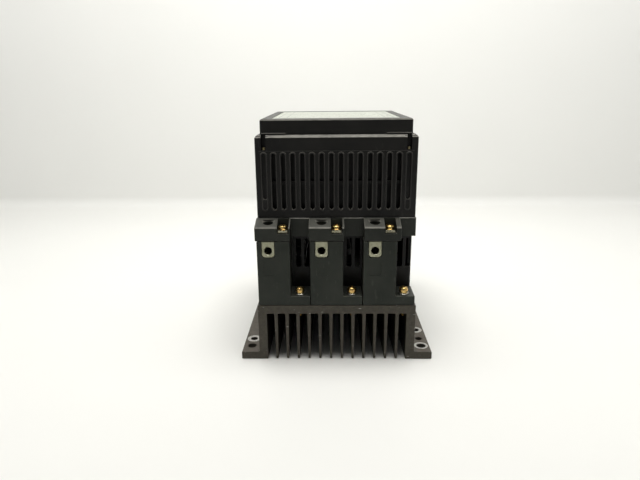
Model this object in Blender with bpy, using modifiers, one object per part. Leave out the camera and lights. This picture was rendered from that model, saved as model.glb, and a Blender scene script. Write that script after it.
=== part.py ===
"""Three-phase solid state relay on a finned heat sink, lying on its back.

X runs across the relay, Y from the line terminals (-Y) to the load terminals (+Y), Z up from the
surface that the heat sink stands on. The origin is on that surface, under the middle of the relay.
All sizes are metres.
"""
import math

import bmesh
import bpy
from mathutils import Euler, Matrix, Vector

# ---- driving dimensions -----------------------------------------------------------------------
LENGTH = 0.194              # over the two terminal fronts, along Y
GAP = 0.0003                # left between pieces that touch

FLANGE_SPAN = 0.175         # over both mounting flanges
FLANGE_THICK = 0.0071
SINK_WIDTH = 0.142
SINK_HEIGHT = 0.0532
SINK_PLATE = 0.0080         # thickness of the plate that the power modules sit on
SINK_WALL = 0.0080
FIN_COUNT = 12
FIN_ROOT = 0.0032
FIN_TIP = 0.0021
FIN_LIFT = 0.0005           # fins end this far above the mounting surface
FLANGE_HOLE_X = 0.0795
FLANGE_HOLES = {"left": ((0.0124, 0.0080), (0.0268, 0.0065)),
                "right": ((0.0124, 0.0085), (0.0268, 0.0063), (0.0456, 0.0065))}

PHASES = 3
BLOCKS_WIDTH = 0.140        # over the three terminal blocks
PITCH = BLOCKS_WIDTH / PHASES
BLOCK_DEPTH = 0.0257
TOWER_WIDTH = 0.0292
FOOT_TOP = 0.0621
TOWER_TOP = 0.1128

LUG_X = 0.0103              # lug centre from the left edge of its block
LUG_WIDTH = 0.0112
LUG_HEIGHT = 0.0144
LUG_DEPTH = 0.0160
LUG_CORNER = 0.0030
WIRE_HOLE = 0.00675
WIRE_Z = 0.1043
LUG_SCREW = 0.0060
LUG_SCREW_REACH = 0.1013    # the tapped bore ends here, in the floor of the wire hole
LUG_SCREW_LENGTH = 0.0120
LUG_SCREW_TIP = 0.1066      # tip height, just inside the wire hole

AUX_X = 0.0232              # auxiliary terminal centre from the left edge of its block
AUX_Y = 0.0075
AUX_PLATE_TOP = 0.1220
AUX_PLATE = 0.0022
TAB_HALF = 0.0046           # half the width of the tab under the auxiliary screw
TAB_BACK = 0.0140
BRANCH_FRONT, BRANCH_BACK = 0.0200, 0.0240
BRANCH_HALF = 0.0040
BRANCH_ROOM = 0.0043        # half the width of the room that the plastic leaves for the branch
SCREW_HEAD = 0.0080
SCREW_SHANK = 0.0033
AUX_HEAD = 0.0030
AUX_STACK = 0.0009          # washers under the head
AUX_SHANK = 0.0078

BLOCK_SCREW_X = 0.0371
BLOCK_SCREW_Y = 0.0070
BLOCK_HEAD = 0.0038
BLOCK_STACK = 0.0025
BLOCK_WASHER = 0.0098
BLOCK_SCREW_END = 0.0405

BAR_THICK = 0.0030
BAR_WIDTH = 0.0100
BAR_TOP = 0.0980            # upper face of the busbar under the lug

CASING_HALF_X = 0.0692
CASING_INSET = 0.0260       # casing wall behind the terminal fronts
CASING_WALL = 0.0025
VENT_OFFSETS = (0.0330, 0.0406)
VENT_WIDTH = 0.0047
VENT_LOW, VENT_HIGH = 0.0810, 0.1085

FRAME_BOTTOM = TOWER_TOP + GAP
FRAME_TOP = 0.1302
FRAME_FLOOR = 0.0030
FRAME_PROUD = 0.0006        # the frame and its covers stand this far outside the housing
COVER_WALL = 0.0021         # strip that joins the three caps at one end
CAP_FRONT_TOP = 0.1254
# left and right end of each cap, from the left edge of its block
CAP_ENDS = ((-0.0010, 0.0296), (-0.0007, 0.0301), (0.0008, 0.0326))
NOTCH_SPAN = (0.0185, 0.0285)   # notch over the auxiliary screw, from the left edge of its block
NOTCH_BACK = 0.0155
SHANK_ROOM = 0.0023             # radius of the hole that the auxiliary screw's shank hangs in
ACCESS_HOLE = 0.0094
ACCESS_Y = 0.0088

HOUSING_HALF_X = 0.0700
HOUSING_INSET = 0.0165      # housing face behind the terminal fronts
HOUSING_BOTTOM = FRAME_TOP + GAP
HOUSING_TOP = 0.2025
HOUSING_WALL = 0.0030
HOUSING_EDGE = 0.0024
SLOT_COUNT = 16
SLOT_PITCH = 0.00833
SLOT_WIDTH = 0.0036
SLOT_BOTTOM = 0.1376
SLOT_TOP = 0.1869
RIB_LOW, RIB_HIGH = 0.1594, 0.1621
BLIND_DEPTH = 0.0016        # depth of the outermost slots, in front of the screw posts
NOTCH_X = 0.0625
NOTCH_WIDTH = 0.0042
NOTCH_FLOOR = 0.1895
POST = 0.0086
LONG_SCREW_INSET = 0.0038   # screw axis behind the housing face
LONG_SCREW_SHANK = 0.0026
LONG_SCREW_HEAD = 0.0036
LONG_SCREW_TIP = 0.1200
TOP_OPENING = (0.104, 0.128)

LID_SIZE = (0.131, 0.155)
LID_BOTTOM = HOUSING_TOP + GAP
LID_TOP = 0.2155
LID_WALL = 0.0025
LID_EDGE = 0.0020
LABEL_SIZE = (0.112, 0.132)
LABEL_THICK = 0.0003

MODULE_SIZE = (0.034, 0.092, 0.030)
CROWN_INSET = 0.0020
SNUBBER_BOARD = (0.124, 0.132)
SNUBBER_BOARD_Z = 0.1240
BOARD_POSTS = [(x, y) for x in (-0.058, 0.058) for y in (-0.060, 0.060)]
CONTROL_BOARD = (0.120, 0.128)
CONTROL_BOARD_Z = 0.1780
BOARD_BOSS_X, BOARD_BOSS_Y = 0.056, 0.040
BOSS_HALF = 0.0040
BOARD_THICK = 0.0016
CAPACITOR_SIZE = (0.014, 0.026, 0.024)
CAPACITOR_Y = -0.020
VARISTOR, VARISTOR_THICK = 0.020, 0.005
VARISTOR_Y, VARISTOR_LIFT = 0.025, 0.0005
TERMINAL_SIZE = (0.040, 0.009, 0.010)
TERMINAL_Y = -0.050
TERMINAL_WAYS, TERMINAL_PITCH = 8, 0.005

# ---- derived from them ------------------------------------------------------------------------
HALF_LENGTH = LENGTH / 2
HALF_SINK = SINK_WIDTH / 2
CASING_HALF_Y = HALF_LENGTH - CASING_INSET
HOUSING_HALF_Y = HALF_LENGTH - HOUSING_INSET
BLOCK_BASE = SINK_HEIGHT + GAP
PHASE_LEFT = [index * PITCH - BLOCKS_WIDTH / 2 for index in range(PHASES)]
ENDS = {"line": 0.0, "load": math.pi}

ALONG_Y = Euler((math.pi / 2, 0.0, 0.0)).to_matrix().to_4x4()
ALONG_X = Euler((math.pi / 2, 0.0, math.pi / 2)).to_matrix().to_4x4()

MATERIALS = {
    "anodised": ((0.045, 0.041, 0.035), 0.45, 0.85),
    "block_plastic": ((0.026, 0.028, 0.025), 0.55, 0.0),
    "case_plastic": ((0.013, 0.013, 0.013), 0.40, 0.0),
    "tinned_metal": ((0.42, 0.42, 0.32), 0.40, 1.0),
    "yellow_zinc": ((0.62, 0.44, 0.16), 0.30, 1.0),
    "label": ((0.62, 0.64, 0.60), 0.45, 0.0),
    "module_plastic": ((0.35, 0.34, 0.31), 0.50, 0.0),
    "circuit_board": ((0.03, 0.16, 0.08), 0.45, 0.0),
    "capacitor": ((0.50, 0.40, 0.08), 0.40, 0.0),
    "varistor": ((0.04, 0.12, 0.40), 0.45, 0.0),
    "connector": ((0.06, 0.30, 0.12), 0.50, 0.0),
}


# ---- scene helpers ----------------------------------------------------------------------------
def clear_scene():
    for obj in list(bpy.data.objects):
        bpy.data.objects.remove(obj, do_unlink=True)


def new_collection(name):
    collection = bpy.data.collections.new(name)
    bpy.context.scene.collection.children.link(collection)
    return collection


def material(key):
    """The named finish, made the first time it is asked for."""
    found = bpy.data.materials.get(key)
    if found:
        return found
    colour, roughness, metallic = MATERIALS[key]
    made = bpy.data.materials.new(key)
    made.use_nodes = True
    shader = made.node_tree.nodes["Principled BSDF"]
    shader.inputs["Base Color"].default_value = (*colour, 1.0)
    shader.inputs["Roughness"].default_value = roughness
    shader.inputs["Metallic"].default_value = metallic
    made.diffuse_color = (*colour, 1.0)
    return made


def add_object(name, mesh, finish=None, location=(0, 0, 0), parent=None):
    """Put a mesh in the scene: a part when it has a finish, a cutter when it has none."""
    obj = bpy.data.objects.new(name, mesh)
    obj.location = location
    obj.parent = parent
    if finish:
        PARTS.objects.link(obj)
        if not mesh.materials:
            mesh.materials.append(material(finish))
    else:
        CUTTERS.objects.link(obj)
        obj.hide_render = True
        obj.display_type = "WIRE"
    return obj


def box_mesh(low, high):
    """A box between two corners."""
    low, high = Vector(low), Vector(high)
    mesh = bpy.data.meshes.new("box")
    bm = bmesh.new()
    place = Matrix.Translation((low + high) / 2) @ Matrix.Diagonal((*(high - low), 1.0))
    bmesh.ops.create_cube(bm, size=1.0, matrix=place)
    bm.to_mesh(mesh)
    bm.free()
    return mesh


def rod_mesh(radius, start, end, sides=12):
    """A round rod between two points."""
    start, end = Vector(start), Vector(end)
    axis = end - start
    turn = axis.to_track_quat("Z", "Y").to_matrix().to_4x4()
    place = Matrix.Translation((start + end) / 2) @ turn
    mesh = bpy.data.meshes.new("rod")
    bm = bmesh.new()
    bmesh.ops.create_cone(bm, cap_ends=True, segments=sides, radius1=radius, radius2=radius,
                          depth=axis.length, matrix=place)
    bm.to_mesh(mesh)
    bm.free()
    mesh.set_sharp_from_angle(angle=math.radians(40))
    return mesh


def outline_mesh(points, thickness, turn, middle=(0, 0, 0)):
    """A flat outline with the given thickness, turned and moved into place."""
    curve = bpy.data.curves.new("outline", "CURVE")
    curve.dimensions = "2D"
    curve.fill_mode = "BOTH"
    curve.extrude = thickness / 2
    spline = curve.splines.new("POLY")
    spline.points.add(len(points) - 1)
    for point, (u, v) in zip(spline.points, points):
        point.co = (u, v, 0.0, 1.0)
    spline.use_cyclic_u = True
    guide = bpy.data.objects.new("outline", curve)
    CUTTERS.objects.link(guide)
    graph = bpy.context.evaluated_depsgraph_get()
    mesh = bpy.data.meshes.new_from_object(guide.evaluated_get(graph))
    bpy.data.objects.remove(guide, do_unlink=True)
    bm = bmesh.new()
    bm.from_mesh(mesh)
    bmesh.ops.remove_doubles(bm, verts=bm.verts, dist=1e-5)
    bmesh.ops.recalc_face_normals(bm, faces=bm.faces)
    bm.transform(Matrix.Translation(middle) @ turn)
    bm.to_mesh(mesh)
    bm.free()
    return mesh


def arc(centre, radius, first, last, steps):
    """Points along an arc, angles in degrees."""
    angles = [math.radians(first + (last - first) * step / steps) for step in range(steps + 1)]
    return [(centre[0] + radius * math.cos(a), centre[1] + radius * math.sin(a)) for a in angles]


def combine(obj, operation, meshes):
    """Boolean the meshes, given in the object's own frame, onto the object and apply the result."""
    for number, mesh in enumerate(meshes):
        cutter = add_object(f"{obj.name}.{operation.lower()}{number:02d}", mesh, parent=obj)
        modifier = obj.modifiers.new(f"{operation.lower()}{number:02d}", "BOOLEAN")
        modifier.operation = operation
        modifier.solver = "EXACT"
        modifier.object = cutter


def cut(obj, *meshes):
    combine(obj, "DIFFERENCE", meshes)


def join(obj, *meshes):
    combine(obj, "UNION", meshes)


def freeze(obj):
    """The object's mesh with its modifiers worked out, ready to be shared by copies."""
    bpy.context.view_layer.update()
    graph = bpy.context.evaluated_depsgraph_get()
    mesh = bpy.data.meshes.new_from_object(obj.evaluated_get(graph))
    for modifier in list(obj.modifiers):
        bpy.data.objects.remove(modifier.object, do_unlink=True)
        obj.modifiers.remove(modifier)
    obj.data = mesh
    return mesh


# ---- heat sink --------------------------------------------------------------------------------
def sink_outline():
    """The extrusion's section without its fins: a plate on two side walls with feet."""
    half_span = FLANGE_SPAN / 2
    inner = HALF_SINK - SINK_WALL
    root = SINK_HEIGHT - SINK_PLATE
    half = [(inner, root), (inner, 0.0), (half_span, 0.0), (half_span, FLANGE_THICK),
            (HALF_SINK, FLANGE_THICK), (HALF_SINK, SINK_HEIGHT)]
    return half + [(-x, z) for x, z in reversed(half)]


def fin_meshes():
    """Tapering fins, evenly spaced between the side walls, each rooted in the plate."""
    inner = HALF_SINK - SINK_WALL
    root = SINK_HEIGHT - SINK_PLATE
    clear = (2 * inner - FIN_COUNT * FIN_ROOT) / (FIN_COUNT + 1)
    overlap = root + SINK_PLATE / 2
    outline = [(-FIN_ROOT / 2, overlap), (-FIN_ROOT / 2, root), (-FIN_TIP / 2, FIN_LIFT),
               (FIN_TIP / 2, FIN_LIFT), (FIN_ROOT / 2, root), (FIN_ROOT / 2, overlap)]
    fins = []
    for number in range(FIN_COUNT):
        middle = -inner + (number + 1) * clear + (number + 0.5) * FIN_ROOT
        fins.append(outline_mesh(outline, LENGTH, ALONG_Y, (middle, 0, 0)))
    return fins


def build_heat_sink():
    mesh = outline_mesh(sink_outline(), LENGTH, ALONG_Y)
    sink = add_object("heat_sink", mesh, "anodised")
    join(sink, *fin_meshes())
    holes = []
    for side, sign in (("left", -1), ("right", 1)):
        for distance, diameter in FLANGE_HOLES[side]:
            for turn in (1, -1):
                x, y = turn * sign * FLANGE_HOLE_X, turn * (distance - HALF_LENGTH)
                holes.append(rod_mesh(diameter / 2, (x, y, -0.001), (x, y, 0.010)))
    for left in PHASE_LEFT:
        for turn in (1, -1):
            x = turn * (left + BLOCK_SCREW_X)
            y = turn * (BLOCK_SCREW_Y - HALF_LENGTH)
            radius = SCREW_SHANK / 2 + GAP
            holes.append(rod_mesh(radius, (x, y, BLOCK_SCREW_END - 0.001), (x, y, 0.060)))
    cut(sink, *holes)
    return sink


# ---- one terminal position --------------------------------------------------------------------
def lug_outline(width, low, high, centre=0.0, steps=5):
    """A face with a square top and rounded lower corners."""
    half, corner = width / 2, LUG_CORNER
    right = arc((centre + half - corner, low + corner), corner, -90, 0, steps)
    left = arc((centre - half + corner, low + corner), corner, 180, 270, steps)
    return [(centre + half, high), (centre - half, high)] + left + right


def terminal_block_mesh():
    """Moulded block: a foot across its width and a tower with pockets for the lug and busbar."""
    right = PITCH - GAP
    top = TOWER_TOP
    outline = [(GAP, BLOCK_BASE), (right, BLOCK_BASE), (right, FOOT_TOP),
               (TOWER_WIDTH, FOOT_TOP), (TOWER_WIDTH, top), (GAP, top)]
    mesh = outline_mesh(outline, BLOCK_DEPTH - GAP, ALONG_Y, (0, (BLOCK_DEPTH + GAP) / 2, 0))
    block = add_object("terminal_block", mesh, "block_plastic")
    pocket = lug_outline(LUG_WIDTH + 2 * GAP, BAR_TOP, top + 0.002, LUG_X)
    pocket_depth = LUG_DEPTH + 2 * GAP
    bar_low = BAR_TOP - BAR_THICK - GAP
    bar_half = BAR_WIDTH / 2 + GAP
    cut(block,
        outline_mesh(pocket, pocket_depth + 0.002, ALONG_Y, (0, (pocket_depth - 0.002) / 2, 0)),
        box_mesh((LUG_X - bar_half, 0.0033, bar_low), (LUG_X + bar_half, 0.030, top + 0.002)),
        box_mesh((LUG_X, BRANCH_FRONT - GAP, bar_low),
                 (AUX_X + BRANCH_ROOM, BRANCH_BACK + GAP, top + 0.002)),
        rod_mesh(SCREW_SHANK / 2 + GAP, (BLOCK_SCREW_X, BLOCK_SCREW_Y, 0.050),
                 (BLOCK_SCREW_X, BLOCK_SCREW_Y, 0.065)))
    mesh = freeze(block)
    bpy.data.objects.remove(block, do_unlink=True)
    return mesh


def box_lug_mesh():
    """Lug with a cross bore for the wire and a bore above it for the clamp screw."""
    low = TOWER_TOP - LUG_HEIGHT
    outline = lug_outline(LUG_WIDTH, low, TOWER_TOP)
    middle = LUG_DEPTH / 2
    lug = add_object("box_lug", outline_mesh(outline, LUG_DEPTH, ALONG_Y, (0, middle, 0)),
                     "tinned_metal")
    screw_bore = LUG_SCREW / 2 + GAP
    cut(lug,
        rod_mesh(WIRE_HOLE / 2, (0, -0.002, WIRE_Z), (0, LUG_DEPTH + 0.002, WIRE_Z), 16),
        rod_mesh(screw_bore, (0, middle, LUG_SCREW_REACH), (0, middle, TOWER_TOP + 0.002), 16))
    mesh = freeze(lug)
    bpy.data.objects.remove(lug, do_unlink=True)
    return mesh


def lug_screw_mesh():
    """Socket set screw, its own origin at the tip."""
    radius = LUG_SCREW / 2
    top = LUG_SCREW_LENGTH
    screw = add_object("lug_screw", rod_mesh(radius, (0, 0, 0), (0, 0, top), 16), "yellow_zinc")
    cut(screw, rod_mesh(0.0020, (0, 0, top - 0.004), (0, 0, top + 0.002), 6))
    mesh = freeze(screw)
    bpy.data.objects.remove(screw, do_unlink=True)
    return mesh


def pan_screw_mesh(shank_length, washer_radius, stack, head_height):
    """Pan-head screw with captive washers, its own origin under the washers."""
    head_top = stack + head_height
    head, flat = SCREW_HEAD / 2, 0.0009
    profile = [(0.0, head_top), (head * 0.62, head_top - 0.0003), (head * 0.9, head_top - 0.0011),
               (head, stack + 0.0006), (head, stack)]
    if stack > flat:
        profile += [(head * 0.86, stack), (head * 0.86, flat)]
    profile += [(washer_radius, flat), (washer_radius, 0.0), (SCREW_SHANK / 2, 0.0),
                (SCREW_SHANK / 2, -shank_length), (0.0, -shank_length)]
    mesh = bpy.data.meshes.new("pan_screw_profile")
    mesh.from_pydata([(x, 0.0, z) for x, z in profile],
                     [(i, i + 1) for i in range(len(profile) - 1)], [])
    screw = add_object("pan_screw", mesh, "yellow_zinc")
    turned = screw.modifiers.new("turned", "SCREW")
    turned.steps = 12
    turned.render_steps = 12
    turned.use_merge_vertices = True
    turned.merge_threshold = 0.00001
    graph = bpy.context.evaluated_depsgraph_get()
    solid = bpy.data.meshes.new_from_object(screw.evaluated_get(graph))
    bpy.data.objects.remove(screw, do_unlink=True)
    recess = add_object("pan_screw", solid, "yellow_zinc")
    cut(recess,
        box_mesh((-0.0050, -0.0005, head_top - 0.0012), (0.0050, 0.0005, head_top + 0.001)))
    mesh = freeze(recess)
    bpy.data.objects.remove(recess, do_unlink=True)
    return mesh


def busbar_mesh():
    """Bar from under the lug to the module, with a branch folded up to the auxiliary terminal."""
    bottom = BAR_TOP - BAR_THICK
    start, drop, end = 0.0040, 0.0440, 0.0570
    module_top = BLOCK_BASE + MODULE_SIZE[2] + GAP
    main = [(start, bottom), (start, BAR_TOP), (drop + BAR_THICK, BAR_TOP),
            (drop + BAR_THICK, module_top + BAR_THICK), (end, module_top + BAR_THICK),
            (end, module_top), (drop, module_top), (drop, bottom)]
    bar = add_object("busbar", outline_mesh(main, BAR_WIDTH, ALONG_X, (LUG_X, 0, 0)),
                     "tinned_metal")
    rise, back, front = BRANCH_FRONT, BRANCH_BACK, 0.0018
    tab_low = AUX_PLATE_TOP - AUX_PLATE
    branch = [(rise, bottom), (rise, tab_low), (front, tab_low), (front, AUX_PLATE_TOP),
              (back, AUX_PLATE_TOP), (back, bottom)]
    join(bar,
         outline_mesh(branch, 2 * BRANCH_HALF, ALONG_X, (AUX_X, 0, 0)),
         box_mesh((LUG_X, rise, bottom), (AUX_X, back, BAR_TOP)),
         box_mesh((AUX_X - TAB_HALF, front, tab_low), (AUX_X + TAB_HALF, TAB_BACK, AUX_PLATE_TOP)))
    cut(bar, rod_mesh(SCREW_SHANK / 2 + GAP, (AUX_X, AUX_Y, 0.110), (AUX_X, AUX_Y, 0.130)))
    mesh = freeze(bar)
    bpy.data.objects.remove(bar, do_unlink=True)
    return mesh


def build_terminals():
    """Three phases at each end; the load end is the line end turned half round."""
    block = terminal_block_mesh()
    lug = box_lug_mesh()
    set_screw = lug_screw_mesh()
    aux_screw = pan_screw_mesh(AUX_SHANK, SCREW_HEAD / 2 + 0.0004, AUX_STACK, AUX_HEAD)
    fixing = pan_screw_mesh(FOOT_TOP + GAP - BLOCK_SCREW_END, BLOCK_WASHER / 2, BLOCK_STACK,
                            BLOCK_HEAD)
    bar = busbar_mesh()
    for end, angle in ENDS.items():
        hub = bpy.data.objects.new(f"{end}_end", None)
        hub.rotation_euler = (0, 0, angle)
        PARTS.objects.link(hub)
        for phase, left in enumerate(PHASE_LEFT, 1):
            front = -HALF_LENGTH
            tag = f"{end}_{phase}"
            add_object(f"terminal_block_{tag}", block, "block_plastic", (left, front, 0), hub)
            add_object(f"box_lug_{tag}", lug, "tinned_metal",
                       (left + LUG_X, front + GAP, 0), hub)
            add_object(f"lug_screw_{tag}", set_screw, "yellow_zinc",
                       (left + LUG_X, front + GAP + LUG_DEPTH / 2, LUG_SCREW_TIP), hub)
            add_object(f"busbar_{tag}", bar, "tinned_metal", (left, front, 0), hub)
            add_object(f"aux_screw_{tag}", aux_screw, "yellow_zinc",
                       (left + AUX_X, front + AUX_Y, AUX_PLATE_TOP + GAP), hub)
            add_object(f"block_screw_{tag}", fixing, "yellow_zinc",
                       (left + BLOCK_SCREW_X, front + BLOCK_SCREW_Y, FOOT_TOP + GAP), hub)


# ---- casing, frame, housing and lid -----------------------------------------------------------
def both_ends(low, high):
    """A box near the line end, and the same box turned half round to the load end."""
    turned_low = (-high[0], -high[1], low[2])
    turned_high = (-low[0], -low[1], high[2])
    return [box_mesh(low, high), box_mesh(turned_low, turned_high)]


def build_lower_casing():
    """Open-ended sleeve round the power modules, vented behind each recess."""
    low, high = BLOCK_BASE, TOWER_TOP
    hx, hy = CASING_HALF_X, CASING_HALF_Y
    casing = add_object("lower_casing", box_mesh((-hx, -hy, low), (hx, hy, high)), "case_plastic")
    inner_x, inner_y = hx - CASING_WALL, hy - CASING_WALL
    cuts = [box_mesh((-inner_x, -inner_y, low - 0.002), (inner_x, inner_y, high + 0.002))]
    for left in PHASE_LEFT:
        for offset in VENT_OFFSETS:
            cuts += both_ends((left + offset, -hy - 0.002, VENT_LOW),
                              (left + offset + VENT_WIDTH, -inner_y + 0.002, VENT_HIGH))
        bar = left + LUG_X
        half = BAR_WIDTH / 2 + GAP
        cuts += both_ends((bar - half, -hy - 0.002, BAR_TOP - BAR_THICK - GAP),
                          (bar + half, -inner_y + 0.002, BAR_TOP + GAP))
    cut(casing, *cuts)


def cap_mesh(left, right):
    """Cap over a terminal tower: its top slopes up from the front edge to the frame."""
    back = HOUSING_INSET + 0.0004
    slope = [(0.0, FRAME_BOTTOM), (back, FRAME_BOTTOM), (back, FRAME_TOP), (0.0, CAP_FRONT_TOP)]
    return outline_mesh(slope, right - left, ALONG_X, ((left + right) / 2, -HALF_LENGTH, 0))


def build_terminal_cover(end):
    """Strip with three caps that close the terminal towers at one end."""
    half = HOUSING_HALF_X + FRAME_PROUD
    outer = -HOUSING_HALF_Y - FRAME_PROUD
    hub = bpy.data.objects[f"{end}_end"]
    strip = box_mesh((-half, outer, FRAME_BOTTOM), (half, outer + COVER_WALL, FRAME_TOP))
    cover = add_object(f"terminal_cover_{end}", strip, "case_plastic", (0, 0, 0), hub)
    caps = [cap_mesh(left + near, left + far) for left, (near, far) in zip(PHASE_LEFT, CAP_ENDS)]
    join(cover, *caps)
    front = -HALF_LENGTH
    tab_low = AUX_PLATE_TOP - AUX_PLATE - GAP
    cuts = []
    for left in PHASE_LEFT:
        lug_x, aux_x = left + LUG_X, left + AUX_X
        cuts += [
            rod_mesh(ACCESS_HOLE / 2, (lug_x, front + ACCESS_Y, 0.110),
                     (lug_x, front + ACCESS_Y, 0.135), 16),
            box_mesh((left + NOTCH_SPAN[0], front - 0.002, tab_low),
                     (left + NOTCH_SPAN[1], front + NOTCH_BACK, 0.135)),
            box_mesh((aux_x - BRANCH_ROOM, front + 0.0100, tab_low),
                     (aux_x + BRANCH_ROOM, front + 0.0200, AUX_PLATE_TOP + GAP)),
            rod_mesh(SHANK_ROOM, (aux_x, front + AUX_Y, 0.110), (aux_x, front + AUX_Y, 0.121))]
    cut(cover, *cuts)


def build_mid_frame():
    """Tray on the lower casing that carries the housing and the snubber board."""
    hx = HOUSING_HALF_X + FRAME_PROUD
    hy = HOUSING_HALF_Y + FRAME_PROUD - COVER_WALL - GAP
    frame = add_object("mid_frame", box_mesh((-hx, -hy, FRAME_BOTTOM), (hx, hy, FRAME_TOP)),
                       "case_plastic")
    wide_x, wide_y = hx - 0.0038, CASING_HALF_Y - 0.0004
    cuts = [box_mesh((-wide_x, -wide_y, FRAME_BOTTOM + FRAME_FLOOR), (wide_x, wide_y, 0.140))]
    front = -HALF_LENGTH
    for left in PHASE_LEFT:
        middle, aux_x = left + PITCH / 2, left + AUX_X
        cuts.append(box_mesh((middle - 0.016, -0.050, 0.110), (middle + 0.016, 0.050, 0.120)))
        branch_back = front + BRANCH_BACK + GAP
        cuts += both_ends((aux_x - BRANCH_ROOM, front + 0.0170, AUX_PLATE_TOP - AUX_PLATE - GAP),
                          (aux_x + BRANCH_ROOM, branch_back, AUX_PLATE_TOP + GAP))
        cuts += both_ends((aux_x - BRANCH_ROOM, front + BRANCH_FRONT - GAP, 0.110),
                          (aux_x + BRANCH_ROOM, branch_back, AUX_PLATE_TOP + GAP))
    cut(frame, *cuts)
    half, top = BOSS_HALF, SNUBBER_BOARD_Z - GAP
    posts = [box_mesh((x - half, y - half, FRAME_BOTTOM), (x + half, y + half, top))
             for x, y in BOARD_POSTS]
    join(frame, *posts)
    bores = [rod_mesh(LONG_SCREW_SHANK / 2 + GAP, (x, y, 0.118), (x, y, 0.135))
             for x, y in long_screw_places()]
    cut(frame, *bores)


def long_screw_places():
    y = HOUSING_HALF_Y - LONG_SCREW_INSET
    return [(sx * NOTCH_X, sy * y) for sx in (-1, 1) for sy in (-1, 1)]


def slot_outline(low, high):
    """An upright slot with round ends."""
    radius = SLOT_WIDTH / 2
    return (arc((0.0, high - radius), radius, 0, 180, 3)
            + arc((0.0, low + radius), radius, 180, 360, 3))


def build_vent_housing():
    """Slotted hood over the boards, with a screw post in each corner."""
    low, high = HOUSING_BOTTOM, HOUSING_TOP
    hx, hy = HOUSING_HALF_X, HOUSING_HALF_Y
    housing = add_object("vent_housing", box_mesh((-hx, -hy, low), (hx, hy, high)),
                         "case_plastic")
    edge = housing.modifiers.new("edges", "BEVEL")
    edge.width = HOUSING_EDGE
    edge.segments = 2
    edge.limit_method = "WEIGHT"
    weights = housing.data.attributes.new("bevel_weight_edge", "FLOAT", "EDGE")
    for index, line in enumerate(housing.data.edges):
        ends = [housing.data.vertices[v].co.z for v in line.vertices]
        weights.data[index].value = 1.0 if min(ends) > high - 0.001 else 0.0
    inner_x, inner_y = hx - HOUSING_WALL, hy - HOUSING_WALL
    cut(housing,
        box_mesh((-inner_x, -inner_y, low - 0.002), (inner_x, inner_y, high - HOUSING_WALL)),
        box_mesh((-TOP_OPENING[0] / 2, -TOP_OPENING[1] / 2, high - 0.010),
                 (TOP_OPENING[0] / 2, TOP_OPENING[1] / 2, high + 0.002)))
    posts = []
    for x, y in long_screw_places():
        reach_x = math.copysign(HOUSING_HALF_X - 0.001, x)
        reach_y = math.copysign(HOUSING_HALF_Y - 0.001, y)
        inner_edge_x = math.copysign(NOTCH_X - POST / 2, x)
        inner_edge_y = math.copysign(HOUSING_HALF_Y - POST, y)
        posts.append(box_mesh((min(reach_x, inner_edge_x), min(reach_y, inner_edge_y), low),
                              (max(reach_x, inner_edge_x), max(reach_y, inner_edge_y),
                               high - 0.001)))
    for side in (-1, 1):
        wall, rib = side * (hy - 0.0031), side * (hy - 0.0062)
        posts.append(box_mesh((-inner_x - 0.001, min(wall, rib) - 0.0004, RIB_LOW),
                              (inner_x + 0.001, max(wall, rib), RIB_HIGH)))
    for x in (-BOARD_BOSS_X, BOARD_BOSS_X):
        for y in (-BOARD_BOSS_Y, BOARD_BOSS_Y):
            outer = math.copysign(inner_x + 0.001, x)
            posts.append(box_mesh((min(x, outer), y - BOSS_HALF, CONTROL_BOARD_Z - 0.006),
                                  (max(x, outer), y + BOSS_HALF, CONTROL_BOARD_Z - GAP)))
    join(housing, *posts)
    cuts = []
    for number in range(SLOT_COUNT):
        x = (number - (SLOT_COUNT - 1) / 2) * SLOT_PITCH
        outer = number in (0, SLOT_COUNT - 1)
        depth = BLIND_DEPTH if outer else HOUSING_WALL + 0.0004
        for side in (-1, 1):
            middle = (x, side * (hy + 0.001 - depth / 2), 0)
            cuts.append(outline_mesh(slot_outline(SLOT_BOTTOM, SLOT_TOP), depth + 0.002,
                                     ALONG_Y, middle))
    for x, y in long_screw_places():
        half = NOTCH_WIDTH / 2
        face = math.copysign(hy + 0.002, y)
        inside = math.copysign(hy - LONG_SCREW_INSET - NOTCH_WIDTH / 2, y)
        cuts.append(box_mesh((x - half, min(face, inside), NOTCH_FLOOR),
                             (x + half, max(face, inside), high + 0.002)))
        cuts.append(rod_mesh(LONG_SCREW_SHANK / 2 + GAP, (x, y, low - 0.002), (x, y, 0.195)))
    cut(housing, *cuts)


def build_housing_screws():
    """Long screws that hold the housing down on the frame."""
    head_low, head_high = NOTCH_FLOOR + GAP, NOTCH_FLOOR + GAP + 0.0022
    for number, (x, y) in enumerate(long_screw_places(), 1):
        head = rod_mesh(LONG_SCREW_HEAD / 2, (0, 0, 0), (0, 0, head_high - head_low))
        screw = add_object(f"housing_screw_{number}", head, "yellow_zinc", (x, y, head_low))
        shank = rod_mesh(LONG_SCREW_SHANK / 2, (0, 0, LONG_SCREW_TIP - head_low), (0, 0, 0.001))
        join(screw, shank)


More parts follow.
